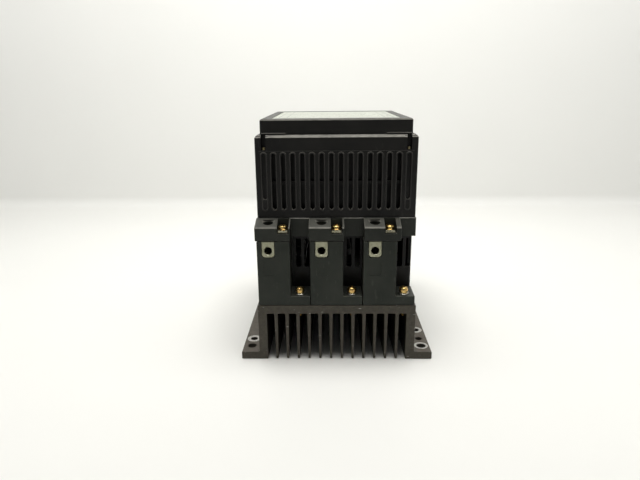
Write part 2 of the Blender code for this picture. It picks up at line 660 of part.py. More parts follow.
def build_lid():
    """Lift-off lid, open underneath, with a blank label let into its top."""
    hx, hy = LID_SIZE[0] / 2, LID_SIZE[1] / 2
    lid = add_object("lid", box_mesh((-hx, -hy, LID_BOTTOM), (hx, hy, LID_TOP)), "case_plastic")
    edge = lid.modifiers.new("edges", "BEVEL")
    edge.width = LID_EDGE
    edge.segments = 2
    edge.limit_method = "WEIGHT"
    weights = lid.data.attributes.new("bevel_weight_edge", "FLOAT", "EDGE")
    for index, line in enumerate(lid.data.edges):
        ends = [lid.data.vertices[v].co.z for v in line.vertices]
        weights.data[index].value = 1.0 if min(ends) > LID_TOP - 0.001 else 0.0
    label_x, label_y = LABEL_SIZE[0] / 2 + GAP, LABEL_SIZE[1] / 2 + GAP
    cut(lid,
        box_mesh((-hx + LID_WALL, -hy + LID_WALL, LID_BOTTOM - 0.002),
                 (hx - LID_WALL, hy - LID_WALL, LID_TOP - LID_WALL)),
        box_mesh((-label_x, -label_y, LID_TOP - 0.0008), (label_x, label_y, LID_TOP + 0.002)))
    label_low = LID_TOP - 0.0008 + GAP
    add_object("lid_label", box_mesh((-LABEL_SIZE[0] / 2, -LABEL_SIZE[1] / 2, label_low),
                                     (LABEL_SIZE[0] / 2, LABEL_SIZE[1] / 2,
                                      label_low + LABEL_THICK)), "label")


# ---- inside the casing ------------------------------------------------------------------------
def build_power_modules():
    """One thyristor module for each phase, screwed face down on the heat sink."""
    width, length, height = MODULE_SIZE
    for phase, left in enumerate(PHASE_LEFT, 1):
        x = left + PITCH / 2
        body = box_mesh((-width / 2, -length / 2, 0), (width / 2, length / 2, height * 0.75))
        module = add_object(f"power_module_{phase}", body, "module_plastic", (x, 0, BLOCK_BASE))
        crown_x, crown_y = width / 2 - CROWN_INSET, length / 2 - CROWN_INSET
        crown = box_mesh((-crown_x, -crown_y, height * 0.5), (crown_x, crown_y, height))
        join(module, crown)


def board_mesh(size):
    return box_mesh((-size[0] / 2, -size[1] / 2, 0), (size[0] / 2, size[1] / 2, BOARD_THICK))


def build_boards():
    """Snubber board on the frame, control board under the lid, and what they carry."""
    add_object("snubber_board", board_mesh(SNUBBER_BOARD), "circuit_board",
               (0, 0, SNUBBER_BOARD_Z))
    add_object("control_board", board_mesh(CONTROL_BOARD), "circuit_board",
               (0, 0, CONTROL_BOARD_Z))
    base = SNUBBER_BOARD_Z + BOARD_THICK + GAP
    width, length, height = CAPACITOR_SIZE
    centre = VARISTOR / 2 + VARISTOR_LIFT
    for phase, left in enumerate(PHASE_LEFT, 1):
        x = left + PITCH / 2
        case = box_mesh((-width / 2, -length / 2, 0), (width / 2, length / 2, height))
        add_object(f"snubber_capacitor_{phase}", case, "capacitor", (x, CAPACITOR_Y, base))
        disc = rod_mesh(VARISTOR / 2, (0, -VARISTOR_THICK / 2, centre),
                        (0, VARISTOR_THICK / 2, centre))
        add_object(f"varistor_{phase}", disc, "varistor", (x, VARISTOR_Y, base))
    top = CONTROL_BOARD_Z + BOARD_THICK + GAP
    width, length, height = TERMINAL_SIZE
    body = box_mesh((-width / 2, -length / 2, 0), (width / 2, length / 2, height))
    terminal = add_object("control_terminal", body, "connector", (0.0, TERMINAL_Y, top))
    wells = []
    for number in range(TERMINAL_WAYS):
        x = (number - (TERMINAL_WAYS - 1) / 2) * TERMINAL_PITCH
        wells.append(rod_mesh(0.0016, (x, 0, 0.006), (x, 0, 0.012)))
    cut(terminal, *wells)


clear_scene()
PARTS = new_collection("solid_state_relay")
CUTTERS = new_collection("cutters")
build_heat_sink()
build_terminals()
build_lower_casing()
for end_name in ENDS:
    build_terminal_cover(end_name)
build_mid_frame()
build_vent_housing()
build_housing_screws()
build_lid()
build_power_modules()
build_boards()
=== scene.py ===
"""Looks of a three-phase solid state relay on a finned heat sink.

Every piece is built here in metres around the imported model: sizes and places come from its boxes,
and fine detail such as edge radii, slot rims, threads and moulding marks is added on top.
"""
import math

import bmesh
import bpy
from mathutils import Euler, Matrix, Vector


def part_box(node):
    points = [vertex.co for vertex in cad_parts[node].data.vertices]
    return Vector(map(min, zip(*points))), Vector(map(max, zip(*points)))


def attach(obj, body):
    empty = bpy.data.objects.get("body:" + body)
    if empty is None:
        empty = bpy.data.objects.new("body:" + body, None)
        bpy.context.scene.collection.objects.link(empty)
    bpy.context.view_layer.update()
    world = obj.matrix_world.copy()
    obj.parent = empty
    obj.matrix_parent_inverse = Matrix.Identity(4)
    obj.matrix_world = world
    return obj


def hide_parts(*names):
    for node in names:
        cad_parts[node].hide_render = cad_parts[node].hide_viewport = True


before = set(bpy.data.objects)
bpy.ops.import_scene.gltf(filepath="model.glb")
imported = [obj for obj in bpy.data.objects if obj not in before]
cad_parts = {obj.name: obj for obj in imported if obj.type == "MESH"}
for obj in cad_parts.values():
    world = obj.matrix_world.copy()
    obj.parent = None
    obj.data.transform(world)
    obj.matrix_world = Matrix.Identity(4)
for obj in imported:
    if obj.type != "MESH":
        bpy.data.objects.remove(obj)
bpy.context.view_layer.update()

ROOT = "relay"
ZINC = "yellow_zinc_steel"
GAP = 0.0003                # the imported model's gap between pieces that touch
PAST = 0.002                # how far a cutter runs past the face that it opens
ENDS = (("line", 0), ("load", 180))
CORNERS = [(sx, sy) for sx in (-1, 1) for sy in (-1, 1)]
NEARLY_STRAIGHT = math.radians(88)
SHARPEST = math.radians(32)     # edges bent more than this are shaded sharp
ALONG_Y = Euler((math.pi / 2, 0.0, 0.0)).to_matrix().to_4x4()
ALONG_X = Euler((math.pi / 2, 0.0, math.pi / 2)).to_matrix().to_4x4()


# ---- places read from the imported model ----
def corners(node):
    """The low and the high corner of a node's box."""
    low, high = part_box(node)
    return Vector(low), Vector(high)


def axis_of(low, high):
    """X and Y of a box's middle, from the outer front corner of its terminal position."""
    return (low.x + high.x) / 2 - LEFTS[0], (low.y + high.y) / 2 + FRONT


SINK_LOW, SINK_HIGH = corners("heat_sink")
FRONT = SINK_HIGH.y         # half the length
BLOCK_LOW, BLOCK_HIGH = corners("terminal_block_line_1")
LEFTS = [corners(f"terminal_block_line_{n}")[0].x - GAP for n in (1, 2, 3)]
PITCH = LEFTS[1] - LEFTS[0]
TOWER_TOP = BLOCK_HIGH.z
BLOCK_BASE = BLOCK_LOW.z
BLOCK_DEPTH = BLOCK_HIGH.y + FRONT
LUG_LOW, LUG_HIGH = corners("box_lug_line_1")
LUG_X = axis_of(LUG_LOW, LUG_HIGH)[0]
LUG_WIDTH = LUG_HIGH.x - LUG_LOW.x
LUG_DEPTH = LUG_HIGH.y - LUG_LOW.y
CLAMP_LOW, CLAMP_HIGH = corners("lug_screw_line_1")
CLAMP_RADIUS = (CLAMP_HIGH.x - CLAMP_LOW.x) / 2
AUX_LOW, AUX_HIGH = corners("aux_screw_line_1")
AUX_X, AUX_Y = axis_of(AUX_LOW, AUX_HIGH)
FIX_LOW, FIX_HIGH = corners("block_screw_line_1")
FIX_X, FIX_Y = axis_of(FIX_LOW, FIX_HIGH)
TAB_TOP = corners("busbar_line_1")[1].z
TAB_LOW = TAB_TOP - 0.0022   # less the tab's thickness
MODULE_TOP = corners("power_module_1")[1].z
FRAME_LOW, FRAME_HIGH = corners("mid_frame")
HOOD_LOW, HOOD_HIGH = corners("vent_housing")
CASING_LOW, CASING_HIGH = corners("lower_casing")


# ---- outlines and solids ----
def about(middle, reach):
    return middle - reach, middle + reach


def span(sign, one, two):
    """Two distances from the middle as low and high on the given side."""
    return sorted((sign * one, sign * two))


def spin(degrees):
    return Matrix.Rotation(math.radians(degrees), 4, "Z")


def shift(x, y, z=0.0):
    return Matrix.Translation((x, y, z))


def arc(centre, radius, first, last, steps):
    """Points along an arc, angles in degrees."""
    angles = [math.radians(first + (last - first) * step / steps) for step in range(steps + 1)]
    return [(centre[0] + radius * math.cos(a), centre[1] + radius * math.sin(a)) for a in angles]


def fillet(points, radius, steps=3):
    """The closed outline with each corner rounded. A corner may carry its own radius third."""
    rounded = []
    for number, corner in enumerate(points):
        here = Vector(corner[:2])
        before = Vector(points[number - 1][:2]) - here
        after = Vector(points[(number + 1) % len(points)][:2]) - here
        wanted = corner[2] if len(corner) > 2 else radius
        half = before.angle(after) / 2
        if wanted <= 0 or half > NEARLY_STRAIGHT:
            rounded.append(tuple(here))
            continue
        reach = min(wanted / math.tan(half), 0.49 * before.length, 0.49 * after.length)
        bisector = (before.normalized() + after.normalized()).normalized()
        centre = here + bisector * reach / math.cos(half)
        spoke = here + before.normalized() * reach - centre
        turn = math.pi - 2 * half
        if before.cross(after) > 0:
            turn = -turn
        for step in range(steps + 1):
            c, s = math.cos(turn * step / steps), math.sin(turn * step / steps)
            rounded.append((centre.x + c * spoke.x - s * spoke.y,
                            centre.y + s * spoke.x + c * spoke.y))
    return rounded


def rectangle(x0, x1, y0, y1):
    return [(x1, y1), (x0, y1), (x0, y0), (x1, y0)]


def shrink(points, distance):
    """The outline moved inwards by a small distance, whichever way round it runs."""
    count = len(points)
    area = sum(points[i - 1][0] * points[i][1] - points[i][0] * points[i - 1][1]
               for i in range(count))
    side = 1.0 if area > 0 else -1.0
    inner = []
    for number, point in enumerate(points):
        here = Vector(point)
        before = (here - Vector(points[number - 1])).normalized()
        after = (Vector(points[(number + 1) % count]) - here).normalized()
        normal = Vector((-(before.y + after.y), before.x + after.x)) * side
        if normal.length < 1e-9:
            inner.append(point)
            continue
        normal.normalize()
        across = max(0.35, normal.dot(Vector((-before.y, before.x)) * side))
        inner.append(tuple(here + normal * distance / across))
    return inner


def closed(bm):
    """The finished mesh of a closed shell, its faces turned outwards."""
    bmesh.ops.recalc_face_normals(bm, faces=bm.faces)
    if bm.calc_volume(signed=True) < 0:
        bmesh.ops.reverse_faces(bm, faces=bm.faces)
    return to_mesh(bm)


def to_mesh(bm):
    mesh = bpy.data.meshes.new("shape")
    bm.to_mesh(mesh)
    bm.free()
    return mesh


def bridge(bm, one, two):
    """Quads between two rings of as many points."""
    for i in range(len(one)):
        j = (i + 1) % len(one)
        bm.faces.new((one[i], one[j], two[j], two[i]))


def loft(loops):
    """A closed mesh through loops with the same number of points, capped at both ends."""
    bm = bmesh.new()
    rings = [[bm.verts.new(point) for point in loop] for loop in loops]
    for lower, upper in zip(rings, rings[1:]):
        bridge(bm, lower, upper)
    bm.faces.new(list(reversed(rings[0])))
    bm.faces.new(rings[-1])
    return closed(bm)


def stepped(points, sections):
    """A mesh through copies of an outline, each with its own inset and height."""
    return loft([[(x, y, z) for x, y in shrink(points, inset)] for inset, z in sections])


def round_steps(edge, steps=3):
    """Inset and depth of each loop round an edge, from the end face to the side."""
    turns = [math.pi / 2 * step / steps for step in range(steps + 1)]
    return [(edge * (1 - math.sin(t)), edge * (1 - math.cos(t))) for t in turns]


def prism(points, start, end, edge=0.0, place=None, steps=3):
    """An outline extruded along Z from start to end, its end edges rounded by edge."""
    rim = round_steps(edge, steps) if edge else [(0.0, 0.0)]
    mesh = stepped(points, [(inset, start + depth) for inset, depth in rim]
                   + [(inset, end - depth) for inset, depth in reversed(rim)])
    if place:
        mesh.transform(place)
    return mesh


def across_y(points, start, end, edge=0.0, steps=3):
    """An outline in X and Z, extruded along Y from start to end."""
    return prism(points, -end, -start, edge, ALONG_Y, steps)


def across_x(points, start, end, edge=0.0, steps=3):
    """An outline in Y and Z, extruded along X from start to end."""
    return prism(points, start, end, edge, ALONG_X, steps)


def slab(low, high, corner, edge, steps=3):
    """A plate that fills the box from low to high, with round corners and edges."""
    plan = fillet(rectangle(low.x, high.x, low.y, high.y), corner, steps)
    return prism(plan, low.z, high.z, edge)


def block(x0, x1, y0, y1, z0, z1, edge=0.0004, corner=0.0006, steps=2):
    """A box with softened edges. The corner radius has to be larger than the edge's."""
    outline = fillet(rectangle(x0, x1, y0, y1), corner, steps)
    return prism(outline, z0, z1, edge, steps=steps)


def well(reach_x, reach_y, z0, z1, corner=0.0):
    """A sharp-edged cutter in the middle of the relay."""
    return block(-reach_x, reach_x, -reach_y, reach_y, z0, z1, 0, corner)


def lathe(profile, sides=40, middle=(0.0, 0.0)):
    """A solid turned about Z from a profile of radius and height, from its top down."""
    bm = bmesh.new()
    turns = [2 * math.pi * s / sides for s in range(sides)]
    rings = [[bm.verts.new((middle[0] + radius * math.cos(a), middle[1] + radius * math.sin(a), z))
              for a in turns] for radius, z in profile]
    for upper, lower in zip(rings, rings[1:]):
        for i in range(sides):
            j = (i + 1) % sides
            bm.faces.new((upper[i], lower[i], lower[j], upper[j]))
    bm.faces.new(rings[0])
    bm.faces.new(list(reversed(rings[-1])))
    return closed(bm)


def drill(radius, low, high, middle=(0.0, 0.0), flare=0.0, sides=40):
    """A cutter for a round hole that opens out by flare at its top."""
    profile = [(radius + flare + 0.0005, high + 0.0005), (radius + flare, high),
               (radius, high - flare), (radius, low)]
    return lathe(profile, sides, middle)


def thread(radius, low, high, pitch, depth):
    """The profile of a threaded shank, from its top down."""
    profile = []
    turns = max(1, int((high - low) / pitch))
    step = (high - low) / turns
    for number in range(turns):
        top = high - number * step
        profile += [(radius - depth, top), (radius, top - step * 0.45), (radius, top - step * 0.6)]
    return profile + [(radius - depth, low)]


def merged(*meshes):
    """Separate shells in one mesh, used as one cutter or one addition."""
    bm = bmesh.new()
    for mesh in meshes:
        bm.from_mesh(mesh)
    return to_mesh(bm)


def moved(mesh, matrix):
    copy = mesh.copy()
    copy.transform(matrix)
    return copy


def both_ends(*meshes):
    """Meshes at the line end, with copies turned half round to the load end."""
    return list(meshes) + [moved(mesh, spin(180)) for mesh in meshes]


def linked(name, data):
    """A new object in the scene."""
    obj = bpy.data.objects.new(name, data)
    bpy.context.scene.collection.objects.link(obj)
    return obj


def applied(*objects):
    """The first object's mesh with its modifiers applied. The objects are removed."""
    bpy.context.view_layer.update()
    graph = bpy.context.evaluated_depsgraph_get()
    mesh = bpy.data.meshes.new_from_object(objects[0].evaluated_get(graph))
    for obj in objects:
        bpy.data.objects.remove(obj, do_unlink=True)
    return mesh


def boolean(mesh, operation, other):
    """The mesh after an exact Boolean with the other mesh."""
    base, tool = linked("base", mesh), linked("tool", other)
    step = base.modifiers.new("step", "BOOLEAN")
    step.operation = operation
    step.solver = "EXACT"
    step.object = tool
    return applied(base, tool)


def cut(mesh, *tools):
    """The mesh less each tool in turn. Tools that don't touch each other may come merged."""
    for tool in tools:
        mesh = boolean(mesh, "DIFFERENCE", tool)
    return mesh


def join(mesh, *others):
    for other in others:
        mesh = boolean(mesh, "UNION", other)
    return mesh


def soften(mesh, width, angle=38):
    """The mesh with its remaining sharp edges rounded."""
    obj = linked("soften", mesh)
    edge = obj.modifiers.new("edge", "BEVEL")
    edge.width = width
    edge.segments = 2
    edge.limit_method = "ANGLE"
    edge.angle_limit = math.radians(angle)
    edge.use_clamp_overlap = True
    edge.miter_outer = "MITER_ARC"
    return applied(obj)


# ---- making pieces ----
def piece(name, mesh, finish, nodes=(), body=ROOT):
    """A finished piece: shaded, given its material and put on its body, with the CAD nodes that it
    stands for hidden.
    """
    obj = linked(name, mesh)
    mesh.materials.clear()
    mesh.materials.append(finish)
    mesh.shade_smooth()
    mesh.set_sharp_from_angle(angle=SHARPEST)
    obj.modifiers.new("normals", "WEIGHTED_NORMAL").keep_sharp = True
    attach(obj, body)
    if nodes:
        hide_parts(*nodes)
    return obj


def stations():
    """Each terminal position: its end's name, its number and the matrix that puts it in place."""
    for end, degrees in ENDS:
        for number, left in enumerate(LEFTS, 1):
            yield end, number, spin(degrees) @ shift(left, -FRONT)


# ---- materials ----
# colours lightened onto upturned faces: dust mixed with painted highlight, then painted highlight
# on slopes
DUST_AND_TOP_SHEEN = (0.3, 0.29, 0.26)
PAINTED_SLOPE_HIGHLIGHT = (0.215, 0.208, 0.182)
BARE_METAL = (0.78, 0.77, 0.73)
LABEL_INK = (0.1, 0.11, 0.11)
LABEL_LINE = 0.0006
SHARP = 0.00005             # fade at a printed line's edge


def shade(colour, factor, lift=0.0):
    return tuple(c * factor + lift for c in colour)


class Finish:
    """A Principled material with procedural colour, roughness and bump in object coordinates."""

    def __init__(self, name, metallic=0.0, **sockets):
        self.material = bpy.data.materials.new(name)
        self.material.use_nodes = True
        self.tree = self.material.node_tree
        self.shader = self.tree.nodes["Principled BSDF"]
        self.shader.inputs["Metallic"].default_value = metallic
        for socket, value in sockets.items():
            self.shader.inputs[socket.replace("_", " ")].default_value = value
        self.where = self.tree.nodes.new("ShaderNodeTexCoord").outputs["Object"]

    def plug(self, value, socket):
        if isinstance(value, bpy.types.NodeSocket):
            self.tree.links.new(value, socket)
        else:
            socket.default_value = value

    def node(self, kind, inputs, **settings):
        made = self.tree.nodes.new("ShaderNode" + kind)
        for name, value in settings.items():
            setattr(made, name, value)
        for key, value in inputs.items():
            self.plug(value, made.inputs[key])
        return made

    def stretched(self, stretch):
        return self.node("Mapping", {"Vector": self.where, "Scale": stretch}).outputs[0]

    def noise(self, scale, detail=3.0, stretch=None, roughness=0.55, distortion=0.0):
        vector = self.stretched(stretch) if stretch else self.where
        inputs = {"Vector": vector, "Scale": scale, "Detail": detail, "Roughness": roughness,
                  "Distortion": distortion}
        return self.node("TexNoise", inputs).outputs["Fac"]

    def ramp(self, fac, *stops):
        """Colours (or grey levels) at positions along a ramp."""
        made = self.node("ValToRGB", {"Fac": fac})
        elements = made.color_ramp.elements
        while len(elements) < len(stops):
            elements.new(0.5)
        for element, (place, colour) in zip(elements, stops):
            element.position = place
            element.color = (*colour, 1.0) if isinstance(colour, tuple) else (colour,) * 3 + (1.0,)
        return made.outputs["Color"]

    def patches(self, start, full, *noise, **settings):
        """Noise sharpened into patches: 0 up to start, 1 from full."""
        return self.ramp(self.noise(*noise, **settings), (start, 0.0), (full, 1.0))

    def mix(self, fac, one, two):
        made = self.tree.nodes.new("ShaderNodeMix")
        made.data_type = "RGBA"
        self.plug(fac, made.inputs[0])
        for value, socket in ((one, made.inputs[6]), (two, made.inputs[7])):
            self.plug((*value, 1.0) if isinstance(value, tuple) else value, socket)
        return made.outputs[2]

    def maths(self, operation, one, two=0.0):
        return self.node("Math", {0: one, 1: two}, operation=operation).outputs[0]

    def times(self, one, two):
        return self.maths("MULTIPLY", one, two)

    def fade(self, value, start, full):
        """0 where the value is start, 1 where it is full, and a straight line between them."""
        inputs = {"Value": value, "From Min": start, "From Max": full}
        return self.node("MapRange", inputs).outputs[0]

    def axis(self, name, source=None):
        return self.node("SeparateXYZ", {0: source or self.where}).outputs[name]

    def away(self, name):
        """Distance from the middle along an axis."""
        return self.maths("ABSOLUTE", self.axis(name))

    def lean(self):
        """The upward share of the surface's normal: 1 facing up, 0 upright, -1 facing down."""
        return self.axis("Z", self.node("NewGeometry", {}).outputs["Normal"])

    def upward(self):
        """1 where the surface faces up, 0 where it stands or faces down."""
        return self.ramp(self.lean(), (0.45, 0.0), (0.95, 1.0))

    def near(self, x, y, radius, soft):
        """1 within the radius of an upright line at x, y, fading over soft."""
        flat = self.node("VectorMath", {0: self.where, 1: (1.0, 1.0, 0.0)}, operation="MULTIPLY")
        away = self.node("VectorMath", {0: flat.outputs[0], 1: (x, y, 0.0)}, operation="DISTANCE")
        return self.fade(away.outputs["Value"], radius + soft, radius)

    def band(self, value, low, high, soft):
        """1 where the value lies between low and high, fading over soft at both sides."""
        return self.times(self.fade(value, low - soft, low), self.fade(value, high + soft, high))

    def finish(self, colour, roughness, height=None, strength=0.0, distance=0.0):
        """The material with its colour and roughness, and a bump from height if there is one."""
        if height:
            inputs = {"Height": height, "Strength": strength, "Distance": distance}
            self.plug(self.node("Bump", inputs).outputs["Normal"], self.shader.inputs["Normal"])
        self.plug(colour, self.shader.inputs["Base Color"])
        self.plug(roughness, self.shader.inputs["Roughness"])
        return self.material


def moulded(name, dark, light, dust_and_sheen=0.07, slope_highlight=0.3, proud=None):
    """Injection-moulded plastic: cloudy colour, fine spark-eroded grain, scuffs, and on top dust
    mixed with a painted highlight of the light from above.

    Edges and slopes turned upwards get a painted highlight of the light from above, its strength
    from 0 to 1. So does anything further out along Y than proud: a painted highlight on the slot
    rims.
    """
    f = Finish(name, IOR=1.48, Specular_IOR_Level=0.18)
    base = f.ramp(f.noise(34.0, 4.0, roughness=0.6), (0.32, dark), (0.7, light))
    scuff = f.patches(0.66, 0.74, 420.0, 2.0, (1.0, 0.16, 0.25))
    base = f.mix(f.times(scuff, 0.22), base, shade(light, 2.6, 0.01))
    # painted highlight: slopes and upturned edges lightened where the overhead light glances off
    # them, mottled by noise
    slope = f.band(f.lean(), 0.35, 0.88, 0.08)
    painted_slope_highlight = f.times(slope, f.ramp(f.noise(160.0, 4.0), (0.3, 0.55), (0.6, 0.95)))
    base = f.mix(f.times(painted_slope_highlight, slope_highlight), base, PAINTED_SLOPE_HIGHLIGHT)
    if proud:
        # painted highlight on faces standing out past proud, such as the raised slot rims
        painted_rim_highlight = f.times(f.fade(f.away("Y"), proud, proud + 0.00008), 0.75)
        base = f.mix(painted_rim_highlight, base, shade(light, 2.4, 0.008))
    # dust on upward faces, mixed with a painted highlight that lightens tops as the light from
    # above would
    dust_and_top_light = f.times(f.upward(), f.ramp(f.noise(95.0, 5.0), (0.35, 0.3), (0.7, 1.0)))
    base = f.mix(f.times(dust_and_top_light, dust_and_sheen), base, DUST_AND_TOP_SHEEN)
    rough = f.ramp(f.noise(120.0, 4.0), (0.3, 0.3), (0.7, 0.44))
    rough = f.mix(f.times(dust_and_top_light, 0.25), rough, (0.55, 0.55, 0.55))
    fine, wave = f.noise(2600.0, 2.0), f.noise(55.0, 2.0)
    height = f.maths("ADD", fine, f.times(wave, 1.6))
    return f.finish(base, rough, height, 0.35, 0.00004)


def anodised(hole_rings):
    """Black anodised extrusion: drawn streaks, speckle, flange tops painted lighter and browner for
    the light from above, and bare worn rings.
    """
    f = Finish("anodised_aluminium", metallic=0.55)
    streak = f.noise(260.0, 4.0, (1.0, 0.035, 1.0), 0.62)
    base = f.ramp(streak, (0.28, (0.035, 0.0315, 0.0245)), (0.72, (0.067, 0.0595, 0.046)))
    speckle = f.patches(0.6, 0.72, 1500.0, 2.0)
    base = f.mix(f.times(speckle, 0.35), base, (0.15, 0.13, 0.105))
    # painted highlight: the upward flange faces outside the body are lightened and mottled as if
    # lit from above
    outside = f.fade(f.away("X"), BODY_HALF, BODY_HALF + 0.002)
    low = f.fade(f.axis("Z"), FLANGE_THICK + 0.0006, FLANGE_THICK - 0.0004)
    lit_flange_top = f.times(f.times(outside, low), f.upward())
    lit_flange_tone = f.ramp(f.noise(210.0, 5.0, roughness=0.7), (0.35, (0.085, 0.07, 0.055)),
                     (0.68, (0.155, 0.13, 0.105)))
    base = f.mix(lit_flange_top, base, lit_flange_tone)
    bare = None
    for x, y, radius in hole_rings:
        ring = f.near(x, y, radius, 0.0003)
        bare = f.maths("MAXIMUM", bare, ring) if bare else ring
    chewed = f.ramp(f.noise(900.0, 4.0, roughness=0.7), (0.34, 0.25), (0.48, 1.0))
    bare = f.times(f.times(bare, chewed), f.times(low, f.upward()))
    scratch = f.patches(0.735, 0.76, 700.0, 1.0, (0.25, 1.0, 1.3), distortion=0.4)
    faces_out = f.band(f.away("Y"), FRONT - 0.001, FRONT + 0.001, 0.0002)
    bare = f.maths("MAXIMUM", bare, f.times(f.times(scratch, faces_out), 0.5))
    base = f.mix(bare, base, BARE_METAL)
    rough = f.mix(bare, f.ramp(streak, (0.3, 0.42), (0.7, 0.56)), (0.34, 0.34, 0.34))
    height = f.maths("ADD", streak, f.times(f.noise(1900.0, 2.0), 0.5))
    return f.finish(base, rough, height, 0.3, 0.00008)


def plated(name, dark, light, rough=(0.3, 0.48)):
    """Plated metal: uneven plate colour, fine handling scratches and dull spots."""
    f = Finish(name, metallic=1.0)
    base = f.ramp(f.noise(190.0, 5.0, roughness=0.65), (0.3, dark), (0.72, light))
    line = f.noise(1600.0, 3.0, (1.0, 1.0, 0.2))
    spot = f.patches(0.6, 0.74, 800.0, 4.0, roughness=0.7)
    base = f.mix(f.times(spot, 0.45), base, shade(dark, 0.45))
    rough_map = f.ramp(line, (0.3, rough[0]), (0.7, rough[1]))
    rough_map = f.mix(f.times(spot, 0.6), rough_map, (0.62, 0.62, 0.62))
    return f.finish(base, rough_map, line, 0.4, 0.00004)


def yellow_zinc(name, green, gold, red):
    """Yellow passivated zinc: gold with greener and redder clouds over the plate."""
    f = Finish(name, metallic=1.0)
    cloud = f.noise(330.0, 3.0, distortion=0.8)
    base = f.ramp(cloud, (0.28, green), (0.48, gold), (0.72, red))
    dull = f.patches(0.56, 0.72, 900.0, 4.0, roughness=0.7)
    base = f.mix(f.times(dull, 0.5), base, (0.24, 0.16, 0.06))
    rough = f.ramp(f.noise(1300.0, 3.0), (0.3, 0.2), (0.7, 0.36))
    return f.finish(base, rough, f.noise(1700.0, 3.0), 0.3, 0.00004)


def label_film(low, high):
    """Blank satin film: an off-white field, a thin printed frame and two empty boxes."""
    f = Finish("label_film", IOR=1.5, Specular_IOR_Level=0.25)
    x, y = f.axis("X"), f.axis("Y")
    half_x, half_y = (high.x - low.x) / 2, (high.y - low.y) / 2
    tint = f.ramp(f.noise(60.0, 3.0), (0.35, (0.37, 0.39, 0.33)), (0.65, (0.43, 0.45, 0.39)))
    margin, box_margin = 0.005, 0.012
    line = None
    for edge_x, edge_y, mid_y in ((half_x - margin, half_y - margin, 0.0),
                                  (half_x - box_margin, 0.03, -0.022),
                                  (half_x - box_margin, 0.024, 0.034)):
        off_x = f.maths("ABSOLUTE", x)
        off_y = f.maths("ABSOLUTE", f.maths("SUBTRACT", y, mid_y))
        in_x = f.band(off_x, -1.0, edge_x, SHARP)
        in_y = f.band(off_y, -1.0, edge_y, SHARP)
        on_x = f.times(f.band(off_x, edge_x - LABEL_LINE, edge_x, SHARP), in_y)
        on_y = f.times(f.band(off_y, edge_y - LABEL_LINE, edge_y, SHARP), in_x)
        box = f.maths("MAXIMUM", on_x, on_y)
        line = f.maths("MAXIMUM", line, box) if line else box
    worn = f.ramp(f.noise(500.0, 4.0), (0.4, 0.6), (0.55, 1.0))
    base = f.mix(f.times(line, worn), tint, LABEL_INK)
    grime = f.patches(0.58, 0.8, 140.0, 6.0, roughness=0.7)
    base = f.mix(f.times(grime, 0.25), base, (0.33, 0.32, 0.27))
    rough = f.ramp(f.noise(300.0, 3.0), (0.3, 0.26), (0.7, 0.38))
    return f.finish(base, rough, f.noise(900.0, 2.0), 0.15, 0.00003)


def circuit_board():
    """Green solder mask over copper: traces, plane edges and a weave faintly showing."""
    f = Finish("circuit_board", IOR=1.5)
    cells = f.node("TexBrick", {"Vector": f.stretched((1.0, 1.0, 0.0)), "Scale": 1.0,
                                "Mortar Size": 0.0005, "Brick Width": 0.0115,
                                "Row Height": 0.0034, "Mortar Smooth": 0.1})
    traces = f.times(cells.outputs["Fac"], f.patches(0.45, 0.52, 70.0, 2.0))
    weave = f.noise(2400.0, 1.0)
    base = f.ramp(weave, (0.3, (0.01, 0.075, 0.034)), (0.7, (0.016, 0.105, 0.05)))
    base = f.mix(f.times(traces, 0.7), base, (0.045, 0.2, 0.09))
    flux = f.patches(0.58, 0.78, 150.0, 5.0, roughness=0.7)
    base = f.mix(f.times(flux, 0.25), base, (0.15, 0.14, 0.08))
    height = f.maths("ADD", traces, f.times(weave, 0.3))
    return f.finish(base, f.ramp(flux, (0.2, 0.3), (0.9, 0.5)), height, 0.35, 0.00005)


def glossy(name, dark, light):
    """Cast or dipped resin: even colour with slow ripples in the gloss."""
    f = Finish(name, IOR=1.5)
    base = f.ramp(f.noise(130.0, 4.0), (0.3, dark), (0.7, light))
    base = f.mix(f.times(f.patches(0.66, 0.76, 1400.0, 3.0), 0.3), base, shade(dark, 0.4))
    rough = f.ramp(f.noise(400.0, 3.0), (0.3, 0.16), (0.7, 0.3))
    return f.finish(base, rough, f.noise(170.0, 3.0), 0.25, 0.00012)


def studio_white(name, colour):
    f = Finish(name)
    return f.finish(f.ramp(f.noise(3.0, 3.0), (0.3, shade(colour, 0.985)), (0.7, colour)), 0.75)


# ---- heat sink ----
FIN_COUNT = 12
SINK_WALL = 0.008
SINK_PLATE = 0.008
FLANGE_THICK = 0.0071
FIN_ROOT, FIN_TIP, FIN_FOOT = 0.0032, 0.0021, 0.0005
BODY_HALF = 0.071
HOLE_X = 0.0795
# distance from the end, hole diameter, worn ring diameter
HOLES_LEFT = ((0.0124, 0.008, 0.0), (0.0268, 0.0065, 0.0125))
HOLES_RIGHT = ((0.0124, 0.0085, 0.0125), (0.0268, 0.0063, 0.0), (0.0456, 0.0065, 0.0122))


def flange_holes():
    for sign, row in ((-1, HOLES_LEFT), (1, HOLES_RIGHT)):
        for away, diameter, ring in row:
            for turn in (1, -1):
                yield turn * sign * HOLE_X, turn * (away - FRONT), diameter / 2, ring / 2


